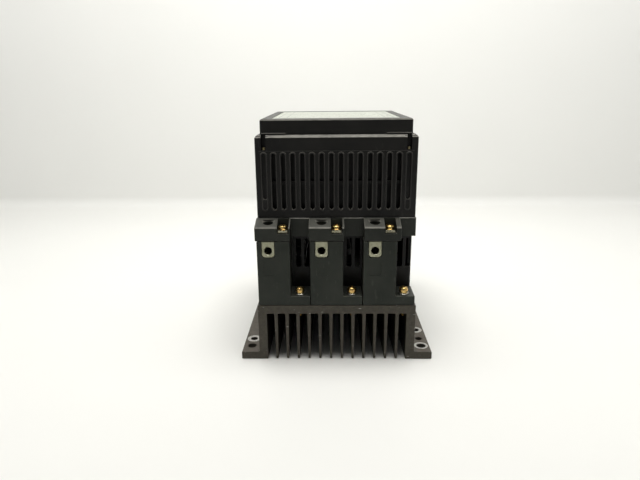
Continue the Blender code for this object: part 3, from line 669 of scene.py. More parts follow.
def sink_outline():
    half_span, top = SINK_HIGH.x, SINK_HIGH.z
    inner = BODY_HALF - SINK_WALL
    root = top - SINK_PLATE
    clear = (2 * inner - FIN_COUNT * FIN_ROOT) / (FIN_COUNT + 1)
    points = [(-half_span, 0.0, 0.0006), (-inner, 0.0), (-inner, root)]
    for number in range(FIN_COUNT):
        middle = -inner + (number + 1) * clear + (number + 0.5) * FIN_ROOT
        points += [(middle - FIN_ROOT / 2, root), (middle - FIN_TIP / 2, FIN_FOOT, 0.0007),
                   (middle + FIN_TIP / 2, FIN_FOOT, 0.0007), (middle + FIN_ROOT / 2, root)]
    points += [(inner, root), (inner, 0.0), (half_span, 0.0, 0.0006),
               (half_span, FLANGE_THICK, 0.0009), (BODY_HALF, FLANGE_THICK, 0.0012),
               (BODY_HALF, top, 0.0007), (-BODY_HALF, top, 0.0007),
               (-BODY_HALF, FLANGE_THICK, 0.0012), (-half_span, FLANGE_THICK, 0.0009)]
    return fillet(points, 0.0008)


def make_heat_sink():
    mesh = across_y(sink_outline(), -FRONT, FRONT, 0.00025, 2)
    tools = [drill(radius, -0.001, FLANGE_THICK, (x, y), 0.0003)
             for x, y, radius, ring in flange_holes()]
    for *_, here in stations():
        middle = here @ Vector((FIX_X, FIX_Y, 0))
        tools.append(drill(FIX_BORE, FIX_LOW.z - 0.001, SINK_HIGH.z, middle.xy, 0.0003, 24))
    finish = anodised([(x, y, ring) for x, y, radius, ring in flange_holes() if ring])
    piece("heat_sink_extrusion", cut(mesh, merged(*tools)), finish,
          ["heat_sink"])


# ---- terminal positions ----
TOWER_WIDTH = 0.0292
FOOT_TOP = 0.0621
BAR_LOW, BAR_TOP = 0.095, 0.098
SLOT_HALF = 0.0053          # half the opening that a bar passes through
LEG_HALF = 0.0043           # the same for the leg up to the auxiliary screw
LEG_FRONT, LEG_BACK = 0.0197, 0.0243
WIRE_Z = 0.1043
WIRE_RADIUS = 0.003375
CLAMP_REACH = 0.1013        # floor of the tapped bore, where the clamp screw ends its travel
FIX_BORE = 0.0019
BOLT_Y = 0.0525


def lug_outline(width, low, high, centre=0.0):
    """A face with a square top and rounded lower corners."""
    half, corner = width / 2, 0.003
    right = arc((centre + half - corner, low + corner), corner, -90, 0, 6)
    left = arc((centre - half + corner, low + corner), corner, 180, 270, 6)
    return [(centre + half, high), (centre - half, high)] + left + right


def terminal_block_mesh():
    right, past = PITCH - GAP, TOWER_TOP + PAST
    side = [(GAP, BLOCK_BASE), (right, BLOCK_BASE), (right, FOOT_TOP), (TOWER_WIDTH, FOOT_TOP),
            (TOWER_WIDTH, TOWER_TOP), (GAP, TOWER_TOP)]
    mark = fillet(rectangle(*about(LUG_X + 0.0006, 0.0052), 0.0815, 0.0945), 0.0008)
    return cut(across_y(fillet(side, 0.0008), GAP, BLOCK_DEPTH, 0.0005),
               across_y(lug_outline(LUG_WIDTH + 0.0006, BAR_TOP, past, LUG_X), -PAST,
                        LUG_DEPTH + 0.0006),
               block(*about(LUG_X, SLOT_HALF), 0.0033, 0.03, BAR_LOW - GAP, past, 0, 0),
               block(LUG_X, AUX_X + LEG_HALF, LEG_FRONT, LEG_BACK, BAR_LOW - GAP, past, 0, 0),
               across_y(mark, -0.001, GAP + 0.0003),
               drill(FIX_BORE, BLOCK_BASE - 0.001, FOOT_TOP, (FIX_X, FIX_Y), 0.0002, 24))


def box_lug_mesh():
    low, back = TOWER_TOP - (LUG_HIGH.z - LUG_LOW.z), GAP + LUG_DEPTH
    hole = lathe([(WIRE_RADIUS + 0.001, -0.0005), (WIRE_RADIUS + 0.0005, GAP),
                  (WIRE_RADIUS, GAP + 0.0005), (WIRE_RADIUS, back + 0.001)], 48)
    hole.transform(shift(0, 0, WIRE_Z) @ Matrix.Rotation(math.radians(-90), 4, "X"))
    return cut(across_y(lug_outline(LUG_WIDTH, low, TOWER_TOP), GAP, back, 0.0006), hole,
               drill(CLAMP_RADIUS + 0.0002, CLAMP_REACH, TOWER_TOP, (0, GAP + LUG_DEPTH / 2),
                     0.0004))


def clamp_screw_mesh():
    """Socket set screw with a chamfered thread and a small dog point, centred on its axis."""
    low, high, radius = CLAMP_LOW.z, CLAMP_HIGH.z, CLAMP_RADIUS
    profile = [(0.0026, high), (radius - 0.0002, high - 0.0005)]
    profile += thread(radius, low + 0.0012, high - 0.0006, 0.0009, 0.0003)
    profile += [(radius * 0.7, low + 0.0006), (radius * 0.66, low + 0.0001), (radius * 0.55, low)]
    socket = lathe([(0.0024, high + 0.001), (0.0022, high - 0.0001), (0.002, high - 0.0004),
                    (0.002, high - 0.0042)], 6)
    return cut(lathe(profile, 48), socket)


def pan_screw_mesh(low, seat, high):
    """Pan head with a cross recess and a slot, on a threaded shank, centred on its axis."""
    head, shank, rise = 0.004, 0.00165, high - seat
    profile = [(head * out, high - down * rise) for out, down in
               ((0.3, 0.0), (0.55, 0.05), (0.76, 0.16), (0.9, 0.34), (0.98, 0.58))]
    profile += [(head, seat + 0.16 * rise), (head * 0.97, seat), (shank + 0.0003, seat),
                (shank, seat - 0.0003)]
    profile += thread(shank, low + 0.0008, seat - 0.001, 0.0007, 0.00022)
    screw = lathe(profile + [(shank * 0.7, low + 0.0002), (shank * 0.55, low)], 48)
    for turn in (45, 135):
        wing = loft([[(x, y, z) for x, y in rectangle(-reach, reach, -wide, wide)]
                     for z, reach, wide in ((high - 0.62 * rise, 0.0008, 0.00024),
                                            (high + 0.0004, 0.0019, 0.00042))])
        screw = cut(screw, moved(wing, spin(turn)))
    slot = well(0.0045, 0.00042, high - 0.4 * rise, high + 0.001)
    return cut(screw, moved(slot, spin(45)))


def washer_mesh(inner, outer, low, high):
    """A flat ring with eased edges."""
    edge, sides = 0.00015, 44
    profile = [(outer - edge, high), (outer, high - edge), (outer, low + edge),
               (outer - edge, low), (inner + edge, low), (inner, low + edge),
               (inner, high - edge), (inner + edge, high)]
    bm = bmesh.new()
    turns = [2 * math.pi * s / sides for s in range(sides)]
    rings = [[bm.verts.new((r * math.cos(a), r * math.sin(a), z)) for r, z in profile]
             for a in turns]
    for s in range(sides):
        bridge(bm, rings[s], rings[(s + 1) % sides])
    return closed(bm)


def spring_washer_mesh(inner, outer, low, high):
    """A split ring: a flat section swept nearly once round, its ends slightly apart."""
    sides, opening, rise = 40, math.radians(16), 0.0002
    mid, thick = (low + high) / 2, (high - low) / 2 - 0.0001
    loops = []
    for s in range(sides + 1):
        angle = opening / 2 + (2 * math.pi - opening) * (s / sides)
        lift = (s / sides - 0.5) * rise
        c, d = math.cos(angle), math.sin(angle)
        loops.append([(r * c, r * d, mid + lift + z) for r, z in
                      ((inner, -thick), (outer, -thick), (outer, thick), (inner, thick))])
    return loft(loops)


def busbar_mesh():
    """The bar from the lug to its module, with a folded branch to the auxiliary screw's tab."""
    start, drop, end = 0.004, 0.044, 0.057
    rise, tab_front = 0.02, 0.0018
    thick = BAR_TOP - BAR_LOW
    seat = MODULE_TOP + GAP
    main = fillet([(start, BAR_LOW), (start, BAR_TOP), (drop + thick, BAR_TOP, 0.0034),
                   (drop + thick, seat + thick, 0.0006), (end, seat + thick), (end, seat),
                   (drop, seat, 0.0034), (drop, BAR_LOW, 0.0006)], 0.0005)
    branch = fillet([(rise, BAR_LOW), (rise, TAB_LOW), (tab_front, TAB_LOW),
                     (tab_front, TAB_TOP), (rise + 0.004, TAB_TOP, 0.0024),
                     (rise + 0.004, BAR_LOW)], 0.0005)
    mesh = join(across_x(main, *about(LUG_X, 0.005), 0.0003, 2),
                across_x(branch, *about(AUX_X, 0.004), 0.0003, 2),
                block(LUG_X, AUX_X, rise + 0.0001, rise + 0.0039, BAR_LOW + 0.0001,
                      BAR_TOP - 0.0001, 0, 0),
                block(*about(AUX_X, 0.0046), tab_front + 0.0001, 0.014, TAB_LOW + 0.0001,
                      TAB_TOP - 0.0001, 0.0002, 0.0004))
    return cut(mesh, drill(0.00195, TAB_LOW - 0.001, TAB_TOP, (AUX_X, AUX_Y), 0.0001, 24),
               drill(0.0027, seat - 0.001, seat + thick, (LUG_X, BOLT_Y), 0.0002, 24))


def make_terminals(gold):
    block_finish = moulded("block_plastic", (0.017, 0.02, 0.016), (0.028, 0.031, 0.025))
    tin = plated("tinned_brass", (0.26, 0.26, 0.18), (0.4, 0.4, 0.3))
    copper = plated("tinned_copper", (0.2, 0.19, 0.135), (0.32, 0.31, 0.23))
    bright = plated("washer_steel", (0.62, 0.61, 0.56), (0.8, 0.79, 0.74), (0.22, 0.36))
    block_shape, lug_shape, clamp_shape = terminal_block_mesh(), box_lug_mesh(), clamp_screw_mesh()
    bar_shape = busbar_mesh()
    aux_shank, aux_washers, fix_head = 0.0078, 0.0012, 0.0038
    aux_base, aux_seat = TAB_TOP + GAP, AUX_LOW.z + aux_shank + aux_washers
    fix_base, fix_seat = FOOT_TOP + GAP, FIX_HIGH.z - fix_head
    aux_shape = pan_screw_mesh(AUX_LOW.z, aux_seat, AUX_HIGH.z)
    fix_shape = pan_screw_mesh(FIX_LOW.z, fix_seat, FIX_HIGH.z)
    fix_washer = washer_mesh(0.0021, 0.0049, fix_base, fix_base + 0.0009)
    fix_spring = spring_washer_mesh(0.002, 0.0036, fix_base + 0.00092, fix_seat)
    aux_washer = washer_mesh(0.0019, 0.0044, aux_base, aux_base + 0.0006)
    aux_spring = spring_washer_mesh(0.002, 0.0034, aux_base + 0.00062, aux_seat)
    for end, number, here in stations():
        twist = spin(17 + 41 * number + (23 if end == "load" else 0))
        at_lug = here @ shift(LUG_X, GAP + LUG_DEPTH / 2) @ twist
        at_aux, at_fix = here @ shift(AUX_X, AUX_Y) @ twist, here @ shift(FIX_X, FIX_Y) @ twist
        for name, mesh, place, finish, slot, node, body in (
                ("moulded_block", block_shape, here, block_finish, "block_plastic",
                 "terminal_block", ""),
                ("wire_lug", lug_shape, here @ shift(LUG_X, 0), tin, "tinned_brass", "box_lug", ""),
                ("socket_screw", clamp_shape, at_lug, gold, ZINC, "lug_screw", "clamp_screw"),
                ("folded_bar", bar_shape, here, copper, "tinned_copper", "busbar", ""),
                ("aux_pan_screw", aux_shape, at_aux, gold, ZINC, "aux_screw", "terminal_screw"),
                ("aux_washer", aux_washer, at_aux, gold, ZINC, "", "terminal_screw"),
                ("aux_spring_washer", aux_spring, at_aux, gold, ZINC, "", "terminal_screw"),
                ("fixing_pan_screw", fix_shape, at_fix, gold, ZINC, "block_screw", ""),
                ("fixing_washer", fix_washer, at_fix, bright, ZINC, "", ""),
                ("fixing_spring_washer", fix_spring, at_fix, gold, ZINC, "", "")):
            tag = f"_{end}_{number}"
            piece(name + tag, moved(mesh, place), finish, [node + tag] if node else (),
                  body + tag if body else ROOT)


# ---- casing, tray, covers, hood and lid ----
COVER_WALL = 0.0021
CAP_FRONT_TOP = 0.1254
DRIVER_Y = 0.0088           # how far back the clamp screw's driver hole is
HOOD_WALL = 0.003
LID_WALL = 0.0025
SLOT_COUNT = 16
SLOT_PITCH = 0.00833
SLOT_WIDTH = 0.0036
SLOT_BOTTOM, SLOT_TOP = 0.1376, 0.1869
BLIND_FOOT = 0.1466         # the outermost slots are filled up to here
RIM_WIDTH = 0.0012
RIM_PROUD = 0.00045
NOTCH_X, NOTCH_WIDTH, NOTCH_FLOOR = 0.0625, 0.0042, 0.1895
SCREW_Y = HOOD_HIGH.y - 0.0038
LONG_BORE = 0.0016
LONG_SCREWS = [(sx * NOTCH_X, sy * SCREW_Y) for sx, sy in CORNERS]
BOARD_PINS = [(sx * 0.058, sy * 0.06) for sx, sy in CORNERS]


def chamfer_steps(edge):
    """Inset and depth of each loop round a chamfer with eased ends, from the end face down."""
    ease = 0.12
    upper = [(edge * (1 + ease), 0.0), (edge * (1 - ease / 2), edge * ease / 2),
             (edge * (1 - 1.5 * ease), edge * 1.5 * ease)]
    return upper + [(depth, inset) for inset, depth in reversed(upper)]


def shell_box(low, high, corner, top_steps):
    """A box on the plan of low and high with round corners and the given top edge."""
    def ring(inset, z):
        sides = rectangle(low.x + inset, high.x - inset, low.y + inset, high.y - inset)
        return [(x, y, z) for x, y in fillet(sides, max(corner - inset, 0.0002), 4)]

    loops = [ring(0.0003, low.z), ring(0.0, low.z + 0.0003)]
    loops += [ring(inset, high.z - depth) for inset, depth in reversed(top_steps)]
    return loft(loops)


def obround(radius, low, high):
    return (arc((0.0, high - radius), radius, 0, 180, 8)
            + arc((0.0, low + radius), radius, 180, 360, 8))


def screw_bores(low, high):
    return [drill(LONG_BORE, low, high, spot, 0.0002, 24) for spot in LONG_SCREWS]


def make_lower_casing(finish):
    low, high = CASING_LOW, CASING_HIGH
    wall, rib_half = 0.0025, 0.0011
    vent_width, vent_low, vent_high = 0.0047, 0.081, 0.1085
    tools = [well(high.x - wall, high.y - wall, low.z - PAST, high.z + PAST, 0.0015)]
    for left in LEFTS:
        vents = [fillet(rectangle(left + start, left + start + vent_width, vent_low, vent_high),
                        0.0012) for start in (0.033, 0.0406)]
        vents.append(fillet(rectangle(*about(left + LUG_X, SLOT_HALF), BAR_LOW - GAP,
                                      BAR_TOP + GAP), 0.0003))
        tools += both_ends(*[across_y(vent, low.y - PAST, low.y + 0.0045) for vent in vents])
    ribs = []
    for sign in (-1, 1):
        depth = span(sign, high.x - 0.001, high.x + 0.0007)
        ribs += [block(*depth, *about(y, rib_half), low.z + 0.006, high.z - 0.006, 0.0003, 0.0004)
                 for y in (-0.048, -0.024, 0.0, 0.024, 0.048)]
    mesh = join(slab(low, high, 0.002, 0.0004), merged(*ribs))
    piece("lower_casing_shell", soften(cut(mesh, *tools), 0.00025), finish,
          ["lower_casing"])


def cap_mesh(left, right):
    """Cap over a terminal tower: a short upright front and a top that slopes up to the frame."""
    low, high = FRAME_LOW.z, FRAME_HIGH.z
    back, bevel = HOOD_LOW.y + FRONT + 0.0006, 0.0009
    slope = fillet([(0.0, low), (back, low, 0.0), (back, high, 0.0),
                    (back - 0.003, high, 0.001), (bevel, CAP_FRONT_TOP + 0.0002),
                    (0.0, CAP_FRONT_TOP - bevel)], 0.0009)
    return moved(across_x(slope, left, right, 0.0006), shift(0, -FRONT))


def make_terminal_covers(finish):
    low, high = corners("terminal_cover_line")
    outer, bevel = HOOD_LOW.y - 0.0006, 0.0006
    strip = across_x(fillet([(outer, low.z), (outer, high.z - bevel), (outer + bevel, high.z),
                             (outer + COVER_WALL, high.z), (outer + COVER_WALL, low.z)], 0.0004),
                     -FRAME_HIGH.x, FRAME_HIGH.x, 0.00035)
    caps = [cap_mesh(left + start, left + end) for left, start, end in
            zip(LEFTS, (-0.001, -0.0007, 0.0008), (0.0296, 0.0301, 0.0326))]
    mesh = join(strip, merged(*caps))
    slope = math.atan2(FRAME_HIGH.z - CAP_FRONT_TOP, HOOD_LOW.y + FRONT)
    surface = CAP_FRONT_TOP + DRIVER_Y * math.tan(slope)
    for left in LEFTS:
        aux_x = left + AUX_X
        mouth = lathe([(0.0062, 0.0016), (0.0047 + 0.0005, 0.0001), (0.0047, -0.0004),
                       (0.0046, -0.017)], 48)
        mouth.transform(shift(left + LUG_X, DRIVER_Y - FRONT, surface))
        notch = fillet([(left + 0.0185, TAB_LOW - GAP), (left + 0.0285, TAB_LOW - GAP),
                        (left + 0.0285, 0.136, 0.0), (left + 0.0185, 0.136, 0.0)], 0.0004)
        mesh = cut(mesh, mouth, across_y(notch, -FRONT - PAST, -FRONT + 0.0155),
                   block(*about(aux_x, LEG_HALF), -FRONT + 0.01, -FRONT + 0.02, TAB_LOW - GAP,
                         TAB_TOP + GAP, 0, 0),
                   drill(0.0023, 0.11, 0.1215, (aux_x, AUX_Y - FRONT), 0, 24))
    mesh = soften(mesh, 0.0003, 42)
    for end, degrees in ENDS:
        piece(f"terminal_cover_moulding_{end}", moved(mesh, spin(degrees)), finish,
              [f"terminal_cover_{end}"])


def make_mid_frame(finish):
    low, high = FRAME_LOW, FRAME_HIGH
    tools = [well(high.x - 0.0038, CASING_HIGH.y - 0.0004, low.z + 0.003, 0.14, 0.001)]
    for left in LEFTS:
        tools.append(block(*about(left + PITCH / 2, 0.016), -0.05, 0.05, 0.11, 0.12, 0, 0.002))
        leg, tab = [block(*about(left + AUX_X, LEG_HALF), -FRONT + front, -FRONT + LEG_BACK,
                          bottom, TAB_TOP + GAP, 0, 0)
                    for front, bottom in ((LEG_FRONT, 0.11), (0.017, TAB_LOW - GAP))]
        tools += both_ends(join(leg, tab))
    mesh = cut(slab(low, high, 0.0008, 0.0005), *tools)
    board_seat = corners("snubber_board")[0].z - GAP
    posts = [block(*about(x, 0.004), *about(y, 0.004), low.z + 0.001, board_seat, 0.0003, 0.0006)
             for x, y in BOARD_PINS]
    mesh = cut(join(mesh, merged(*posts)), *screw_bores(0.118, high.z))
    piece("mid_frame_tray", soften(mesh, 0.00025), finish, ["mid_frame"])


def on_face(mesh, x, side):
    """Stand a mesh drawn flat, with Z as its outward depth, on the hood's face."""
    out = Matrix(((1, 0, 0, 0), (0, 0, -1, 0), (0, 1, 0, 0), (0, 0, 0, 1)))
    mesh.transform(spin(0 if side < 0 else 180) @ shift(x, -HOOD_HIGH.y) @ out)
    return mesh


def hood_face(side):
    """Raised slot rims and the slot cutters for one face of the hood (side -1 or 1 along Y)."""
    rims, slots = [], []
    for number in range(SLOT_COUNT):
        x = (number - (SLOT_COUNT - 1) / 2) * SLOT_PITCH
        outermost = number in (0, SLOT_COUNT - 1)
        depth = 0.0021 if outermost else HOOD_WALL + 0.0006
        rim = stepped(obround(SLOT_WIDTH / 2 + RIM_WIDTH, SLOT_BOTTOM - RIM_WIDTH,
                              SLOT_TOP + RIM_WIDTH),
                      ((0.0, -0.001), (0.0, 0.00012), (0.00014, 0.00034), (0.00034, RIM_PROUD)))
        hole = stepped(obround(SLOT_WIDTH / 2, BLIND_FOOT if outermost else SLOT_BOTTOM, SLOT_TOP),
                       ((0.0, -depth), (0.0, RIM_PROUD - 0.00032), (-0.0001, RIM_PROUD - 0.00012),
                        (-0.00034, RIM_PROUD + 0.00002), (-0.0006, 0.0015)))
        rims.append(on_face(rim, x, side))
        slots.append(on_face(hole, x, side))
        if outermost:
            foot = fillet(rectangle(*about(0.0, SLOT_WIDTH / 2), SLOT_BOTTOM + 0.0002,
                                    BLIND_FOOT - 0.0004), 0.0012, 4)
            slots.append(on_face(prism(foot, RIM_PROUD - 0.0006, 0.0015), x, side))
    return rims, slots


def make_hood(finish):
    low, high = HOOD_LOW, HOOD_HIGH
    inner_x, inner_y = high.x - HOOD_WALL, high.y - HOOD_WALL
    mesh = cut(shell_box(low, high, 0.0012, chamfer_steps(0.0024)),
               well(inner_x, inner_y, low.z - PAST, high.z - HOOD_WALL, 0.001),
               well(0.052, 0.064, high.z - 0.01, high.z + PAST, 0.003))
    board_seat = corners("control_board")[0].z - GAP
    pillars = [block(*span(sx, high.x - 0.001, NOTCH_X - 0.0043),
                     *span(sy, high.y - 0.001, high.y - 0.0086), low.z + 0.0002, high.z - 0.001, 0,
                     0.0004) for sx, sy in CORNERS]
    ledges = [block(*span(sx, 0.056, inner_x + 0.001), *about(sy * 0.04, 0.004),
                    board_seat - 0.0057, board_seat, 0, 0.0004) for sx, sy in CORNERS]
    mesh = join(mesh, merged(*pillars, *ledges))
    rib_heights, ridge_heights = (0.1594, 0.1621), (0.18855, 0.189)
    ribs = []
    for side in (-1, 1):
        inside = span(side, inner_y + 0.0006, high.y - 0.0062)
        outside = span(side, high.y - 0.001, high.y + 0.00028)
        ribs += [block(*about(0.0, inner_x + 0.001), *inside, *rib_heights, 0, 0.0002),
                 block(*about(0.0, high.x - 0.0032), *outside, *ridge_heights, 0.00014, 0.00022)]
    mesh = join(mesh, merged(*ribs))
    for side in (-1, 1):
        rims, slots = hood_face(side)
        mesh = cut(join(mesh, merged(*rims)), merged(*slots))
    for sx, sy in CORNERS:
        mesh = cut(mesh, block(*about(sx * NOTCH_X, NOTCH_WIDTH / 2),
                               *span(sy, high.y + PAST, SCREW_Y - 0.0021), NOTCH_FLOOR,
                               high.z + PAST, 0, 0.0004))
    mesh = cut(mesh, *screw_bores(low.z - PAST, NOTCH_FLOOR))
    piece("vent_hood", mesh, finish, ["vent_housing"])


def make_slot_shade_sheets(finish):
    """A plain dark sheet hung behind the slots of each face, with air left above and below it:
    painted shade that stands in for the dark inside the hood seen through the slots.
    """
    reach, behind, thick = 0.057, 0.0702, 0.0012
    for name, side in (("line", -1), ("load", 1)):
        ys = span(side, behind, behind + thick)
        parts = [block(*about(x, half), *ys, bottom, top, 0.0002, 0.0004) for x, half, bottom, top
                 in ((0.0, reach, 0.133, 0.19), (-0.0555, 0.003, 0.188, 0.1994),
                     (0.0555, 0.003, 0.188, 0.1994))]
        # each sheet is painted shade behind the slots
        piece(f"slot_shade_sheet_{name}", join(*parts), finish)


def make_hood_screws(finish):
    head, shank, seat = 0.0018, 0.0013, NOTCH_FLOOR + GAP
    for number, (x, y) in enumerate(LONG_SCREWS, 1):
        low, high = [corner[2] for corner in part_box(f"housing_screw_{number}")]
        profile = [(head * 0.45, high), (head * 0.8, high - 0.0002), (head * 0.97, high - 0.0007),
                   (head, seat + 0.0003), (head * 0.96, seat), (0.0014, seat),
                   (shank, seat - 0.0002), (shank, low + 0.012)]
        profile += thread(shank, low + 0.0006, low + 0.0119, 0.0006, 0.0002)
        slot = well(0.0025, 0.00028, high - 0.0008, high + 0.001)
        slot.transform(spin(25 + 50 * number))
        mesh = cut(lathe(profile + [(0.0008, low)], 32), slot)
        piece(f"long_screw_{number}", moved(mesh, shift(x, y)), finish,
              [f"housing_screw_{number}"])


def make_lid(plastic):
    low, high = corners("lid")
    label_low, label_high = corners("lid_label")
    lips = [block(*span(sx, high.x - 0.0012, high.x - 0.0225),
                  *span(sy, high.y - 0.001, high.y + 0.0012), low.z + 0.0001, low.z + 0.0012,
                  0.0005, 0.0008, 3) for sx, sy in CORNERS]
    mesh = join(shell_box(low, high, 0.0022, round_steps(0.0019, 5)), merged(*lips))
    mesh = cut(mesh,
               block(low.x + LID_WALL, high.x - LID_WALL, low.y + LID_WALL, high.y - LID_WALL,
                     low.z - PAST, high.z - LID_WALL, 0, 0.0012),
               well(label_high.x + GAP, label_high.y + GAP, high.z - 0.0008, high.z + PAST,
                    0.002))
    piece("lid_moulding", mesh, plastic, ["lid"], "lid")
    piece("blank_label", slab(label_low, label_high, 0.0018, 0.00008, 4),
          label_film(label_low, label_high), ["lid_label"], "lid")


# ---- inside: modules and boards ----
TERMINAL_PITCH = 0.005
TERMINAL_WAYS = 8


def make_modules(resin, plate, gold):
    """Each module: a resin case with a stepped crown over a metal base plate, and its bar bolts."""
    base_height = 0.003
    for number in (1, 2, 3):
        low, high = corners(f"power_module_{number}")
        step, base_top = low.z + (high.z - low.z) * 0.75, low.z + base_height
        plan = fillet(rectangle(low.x, high.x, low.y, high.y), 0.003, 5)
        case = prism(plan, base_top, step, 0.0006)
        inner = fillet(rectangle(low.x + 0.002, high.x - 0.002, low.y + 0.002, high.y - 0.002),
                       0.0024, 5)
        crown = prism(inner, step - 0.001, high.z, 0.0006)
        tools = [block(low.x - 0.001, high.x + 0.001, *about(y, 0.001), step + 0.0012,
                       high.z + 0.001, 0, 0.0003) for y in (-0.024, -0.018, 0.018, 0.024)]
        piece(f"module_case_{number}", cut(join(case, crown), *tools), resin,
              [f"power_module_{number}"])
        piece(f"module_base_{number}", prism(plan, low.z, base_top - 0.0001, 0.0003), plate)
    seat = MODULE_TOP + GAP + 0.003
    bolt = lathe([(0.0034, seat + 0.0036), (0.0041, seat + 0.0032), (0.0043, seat + 0.0028),
                  (0.0043, seat + 0.0002), (0.0025, seat), (0.0025, seat - 0.003)], 6)
    for end, number, here in stations():
        piece(f"bar_bolt_{end}_{number}", moved(bolt, here @ shift(LUG_X, BOLT_Y)), gold)


def part_on_board(x, y, z, width, depth, height, edge=0.0003):
    return block(*about(x, width / 2), *about(y, depth / 2), z, z + height, edge, edge * 1.6)


def resistor_mesh(x, y, z):
    """An axial resistor that lies along X, fuller at both ends."""
    half, radius = 0.015 / 2, 0.0026
    side = [(radius * 0.35, half), (radius * 0.8, half - 0.0003), (radius, half - 0.0009),
            (radius, half - 0.0022), (radius * 0.86, half - 0.0029)]
    body = lathe(side + [(r, -h) for r, h in reversed(side)], 28)
    body.transform(shift(x, y, z + radius + 0.0004) @ Matrix.Rotation(math.pi / 2, 4, "Y"))
    return body


def board_plate(name, node, finish, holes):
    low, high = corners(node)
    drills = [drill(0.0017, low.z - 0.001, high.z, spot, 0, 24) for spot in holes]
    piece(name, cut(slab(low, high, 0.0015, 0.0001), *drills), finish, [node])
    return high.z


def make_snubber_board(board, yellow, blue, resin, tin):
    top = board_plate("snubber_plate", "snubber_board", board, BOARD_PINS)
    for number, left in enumerate(LEFTS, 1):
        case = slab(*corners(f"snubber_capacitor_{number}"), 0.0012, 0.0008)
        piece(f"film_capacitor_{number}", case, yellow,
              [f"snubber_capacitor_{number}"])
        low, high = corners(f"varistor_{number}")
        middle, half, radius = (low + high) / 2, (high.y - low.y) / 2, (high.x - low.x) / 2
        dome = [(radius * 0.55, half), (radius * 0.86, half * 0.88), (radius * 0.97, half * 0.55)]
        disc = lathe(dome + [(radius, 0.0)] + [(r, -h) for r, h in reversed(dome)], 48)
        disc.transform(Matrix.Translation(middle) @ ALONG_Y)
        piece(f"varistor_disc_{number}", disc, blue, [f"varistor_{number}"])
        leads = [lathe([(0.0004, low.z + 0.0012), (0.0004, top - 0.0004)], 12, (x, middle.y))
                 for x in about(middle.x, 0.0037)]
        piece(f"varistor_leads_{number}", merged(*leads), tin)
        pair = [resistor_mesh(left + PITCH / 2, y, top) for y in (0.0045, 0.0115)]
        piece(f"snubber_resistors_{number}", merged(*pair), resin)


def make_control_board(board, resin, plastic, bright):
    top = board_plate("control_plate", "control_board", board, ())
    low, high = corners("control_terminal")
    middle_x, y = (low.x + high.x) / 2, (low.y + high.y) / 2 + 0.001
    wells, screws = [], []
    for way in range(TERMINAL_WAYS):
        x = middle_x + (way - (TERMINAL_WAYS - 1) / 2) * TERMINAL_PITCH
        wells.append(drill(0.0019, high.z - 0.006, high.z, (x, y), 0.0002, 28))
        wells.append(block(*about(x, 0.0018), low.y - 0.001, low.y + 0.004, low.z + 0.001,
                           low.z + 0.0046, 0, 0.0002))
        head = lathe([(0.0015, high.z - 0.0036), (0.0017, high.z - 0.0039),
                      (0.0017, high.z - 0.0058)], 28, (x, y))
        screws.append(cut(head, block(*about(x, 0.002), *about(y, 0.0003), high.z - 0.0042,
                                      high.z - 0.003, 0, 0)))
    piece("control_terminal_body", cut(slab(low, high, 0.0007, 0.0004), *wells), plastic,
          ["control_terminal"])
    piece("control_terminal_screws", merged(*screws), bright)
    core = part_on_board(0.03, 0.03, top, 0.028, 0.024, 0.016, 0.0008)
    lamination = block(0.015, 0.045, 0.0255, 0.0345, top + 0.0001, top + 0.012, 0.0003, 0.0006)
    piece("supply_transformer", join(core, lamination), resin)
    dense = [part_on_board(x, 0.01, top, 0.0089, 0.0064, 0.0036) for x in (-0.04, -0.022, -0.004)]
    small = [part_on_board(-0.046 + 0.0085 * n, -0.022, top, 0.0032, 0.0018, 0.001, 0.0002)
             for n in range(9)]
    cans = [lathe([(0.0036, top + 0.0112), (0.004, top + 0.0108), (0.004, top + 0.0016),
                   (0.0037, top + 0.0012), (0.004, top + 0.0008), (0.004, top)], 36, spot)
            for spot in ((-0.036, 0.04), (-0.022, 0.04))]
    piece("control_chips", merged(*dense, *small), resin)
    piece("control_capacitors", merged(*cans), resin)


# ---- stage, light and camera ----
def make_stage():
    """A pale floor that curves up into a pale wall."""
    near, wall, half, height, bend = -3.0, 0.565, 3.2, 1.9, 0.02
    turns = [math.pi / 2 * step / 16 for step in range(17)]
    section = [(near, 0.0)]
    section += [(wall - bend + bend * math.sin(t), bend - bend * math.cos(t)) for t in turns]
    section += [(wall, height)]
    bm = bmesh.new()
    for (y0, z0), (y1, z1) in zip(section, section[1:]):
        strip = [(-half, y0, z0), (half, y0, z0), (half, y1, z1), (-half, y1, z1)]
        bm.faces.new([bm.verts.new(corner) for corner in strip])
    bmesh.ops.remove_doubles(bm, verts=bm.verts, dist=1e-5)
    bmesh.ops.recalc_face_normals(bm, faces=bm.faces)
    mesh = to_mesh(bm)
    mesh.materials.append(studio_white("stage_white", (0.8, 0.8, 0.775)))
    mesh.shade_smooth()
    floor = linked("stage", mesh)
    floor.location.z = SINK_LOW.z - 0.0002


def area_light(name, spot, aim, size, power, colour=(1.0, 1.0, 1.0)):
    data = bpy.data.lights.new(name, "AREA")
    data.shape = "RECTANGLE"
    data.size, data.size_y = size
    data.energy = power
    data.color = colour
    light = linked(name, data)
    light.location = spot
    light.rotation_euler = (Vector(aim) - Vector(spot)).to_track_quat("-Z", "Y").to_euler()


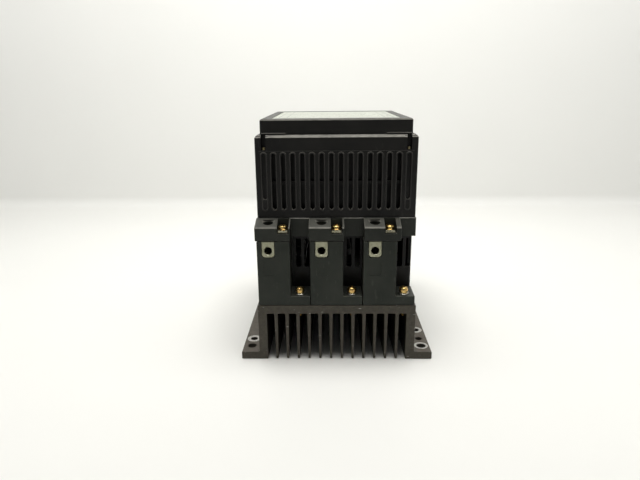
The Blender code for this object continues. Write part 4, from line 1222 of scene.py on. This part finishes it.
def make_lights():
    middle = (0.0, 0.0, 0.11)
    area_light("overhead", (0.0, -0.1, 1.1), middle, (0.62, 0.62), 9.9, (1.0, 0.985, 0.95))
    area_light("left_fill", (-1.05, -0.5, 0.6), middle, (0.5, 0.7), 1.15)
    area_light("right_fill", (1.05, -0.4, 0.6), middle, (0.5, 0.7), 1.15)
    area_light("wall_wash", (0.0, 0.05, 0.85), (0.0, 0.565, 0.3), (2.2, 0.25), 3.9)
    world = bpy.data.worlds.new("studio")
    world.use_nodes = True
    background = world.node_tree.nodes["Background"]
    background.inputs["Color"].default_value = (0.95, 0.95, 0.92, 1.0)
    background.inputs["Strength"].default_value = 0.27
    bpy.context.scene.world = world


def make_camera():
    """Just above the load terminals' height, looking a little down at the line end."""
    pan, tilt, roll = 0.0203, 0.2835, -0.0092
    data = bpy.data.cameras.new("camera")
    data.sensor_width = 36.0
    data.lens = 29.25
    camera = linked("camera", data)
    camera.matrix_world = (shift(-0.0055, -0.5283, 0.2401)
                           @ (Matrix.Rotation(pan, 4, "Z")
                              @ Matrix.Rotation(math.pi / 2 - tilt, 4, "X")
                              @ Matrix.Rotation(roll, 4, "Z")))
    bpy.context.scene.camera = camera
    bpy.context.scene.view_settings.view_transform = "Standard"


# ---- the whole relay ----
def make_relay():
    make_heat_sink()
    gold = yellow_zinc(ZINC, (0.36, 0.31, 0.13), (0.64, 0.45, 0.16), (0.66, 0.37, 0.14))
    make_terminals(gold)
    black = (0.008, 0.008, 0.0078), (0.0135, 0.013, 0.012)
    # the dust and wear settings of the plastics below also set how strong their painted highlights
    # on tops and upturned slopes are
    case_black = moulded("case_plastic", *black, dust_and_sheen=0.12, slope_highlight=0.65)
    olive = yellow_zinc("dull_yellow_zinc", (0.4, 0.38, 0.22), (0.58, 0.5, 0.28),
                        (0.54, 0.42, 0.24))
    cover_black = moulded("cover_plastic", (0.017, 0.019, 0.0155), (0.027, 0.029, 0.024),
                          dust_and_sheen=0.16, slope_highlight=0.8)
    hood_black = moulded("hood_plastic", *black, dust_and_sheen=0.12, slope_highlight=1.0, proud=HOOD_HIGH.y + 0.0003)
    make_lower_casing(case_black)
    make_mid_frame(case_black)
    make_terminal_covers(cover_black)
    make_hood(hood_black)
    # dark sheets behind the slots stand in for the shade inside the hood
    make_slot_shade_sheets(case_black)
    make_hood_screws(olive)
    make_lid(case_black)
    copper = plated("module_copper", (0.4, 0.39, 0.31), (0.58, 0.57, 0.48))
    resin = moulded("module_plastic", (0.016, 0.016, 0.017), (0.026, 0.026, 0.028))
    yellow = glossy("capacitor_case", (0.55, 0.42, 0.05), (0.66, 0.5, 0.08))
    blue = glossy("varistor_epoxy", (0.02, 0.07, 0.26), (0.03, 0.1, 0.36))
    pale = moulded("connector_plastic", (0.26, 0.26, 0.24), (0.33, 0.33, 0.31))
    board = circuit_board()
    make_modules(resin, copper, gold)
    make_snubber_board(board, yellow, blue, resin, copper)
    make_control_board(board, resin, pale, copper)


make_relay()
make_stage()
make_lights()
make_camera()
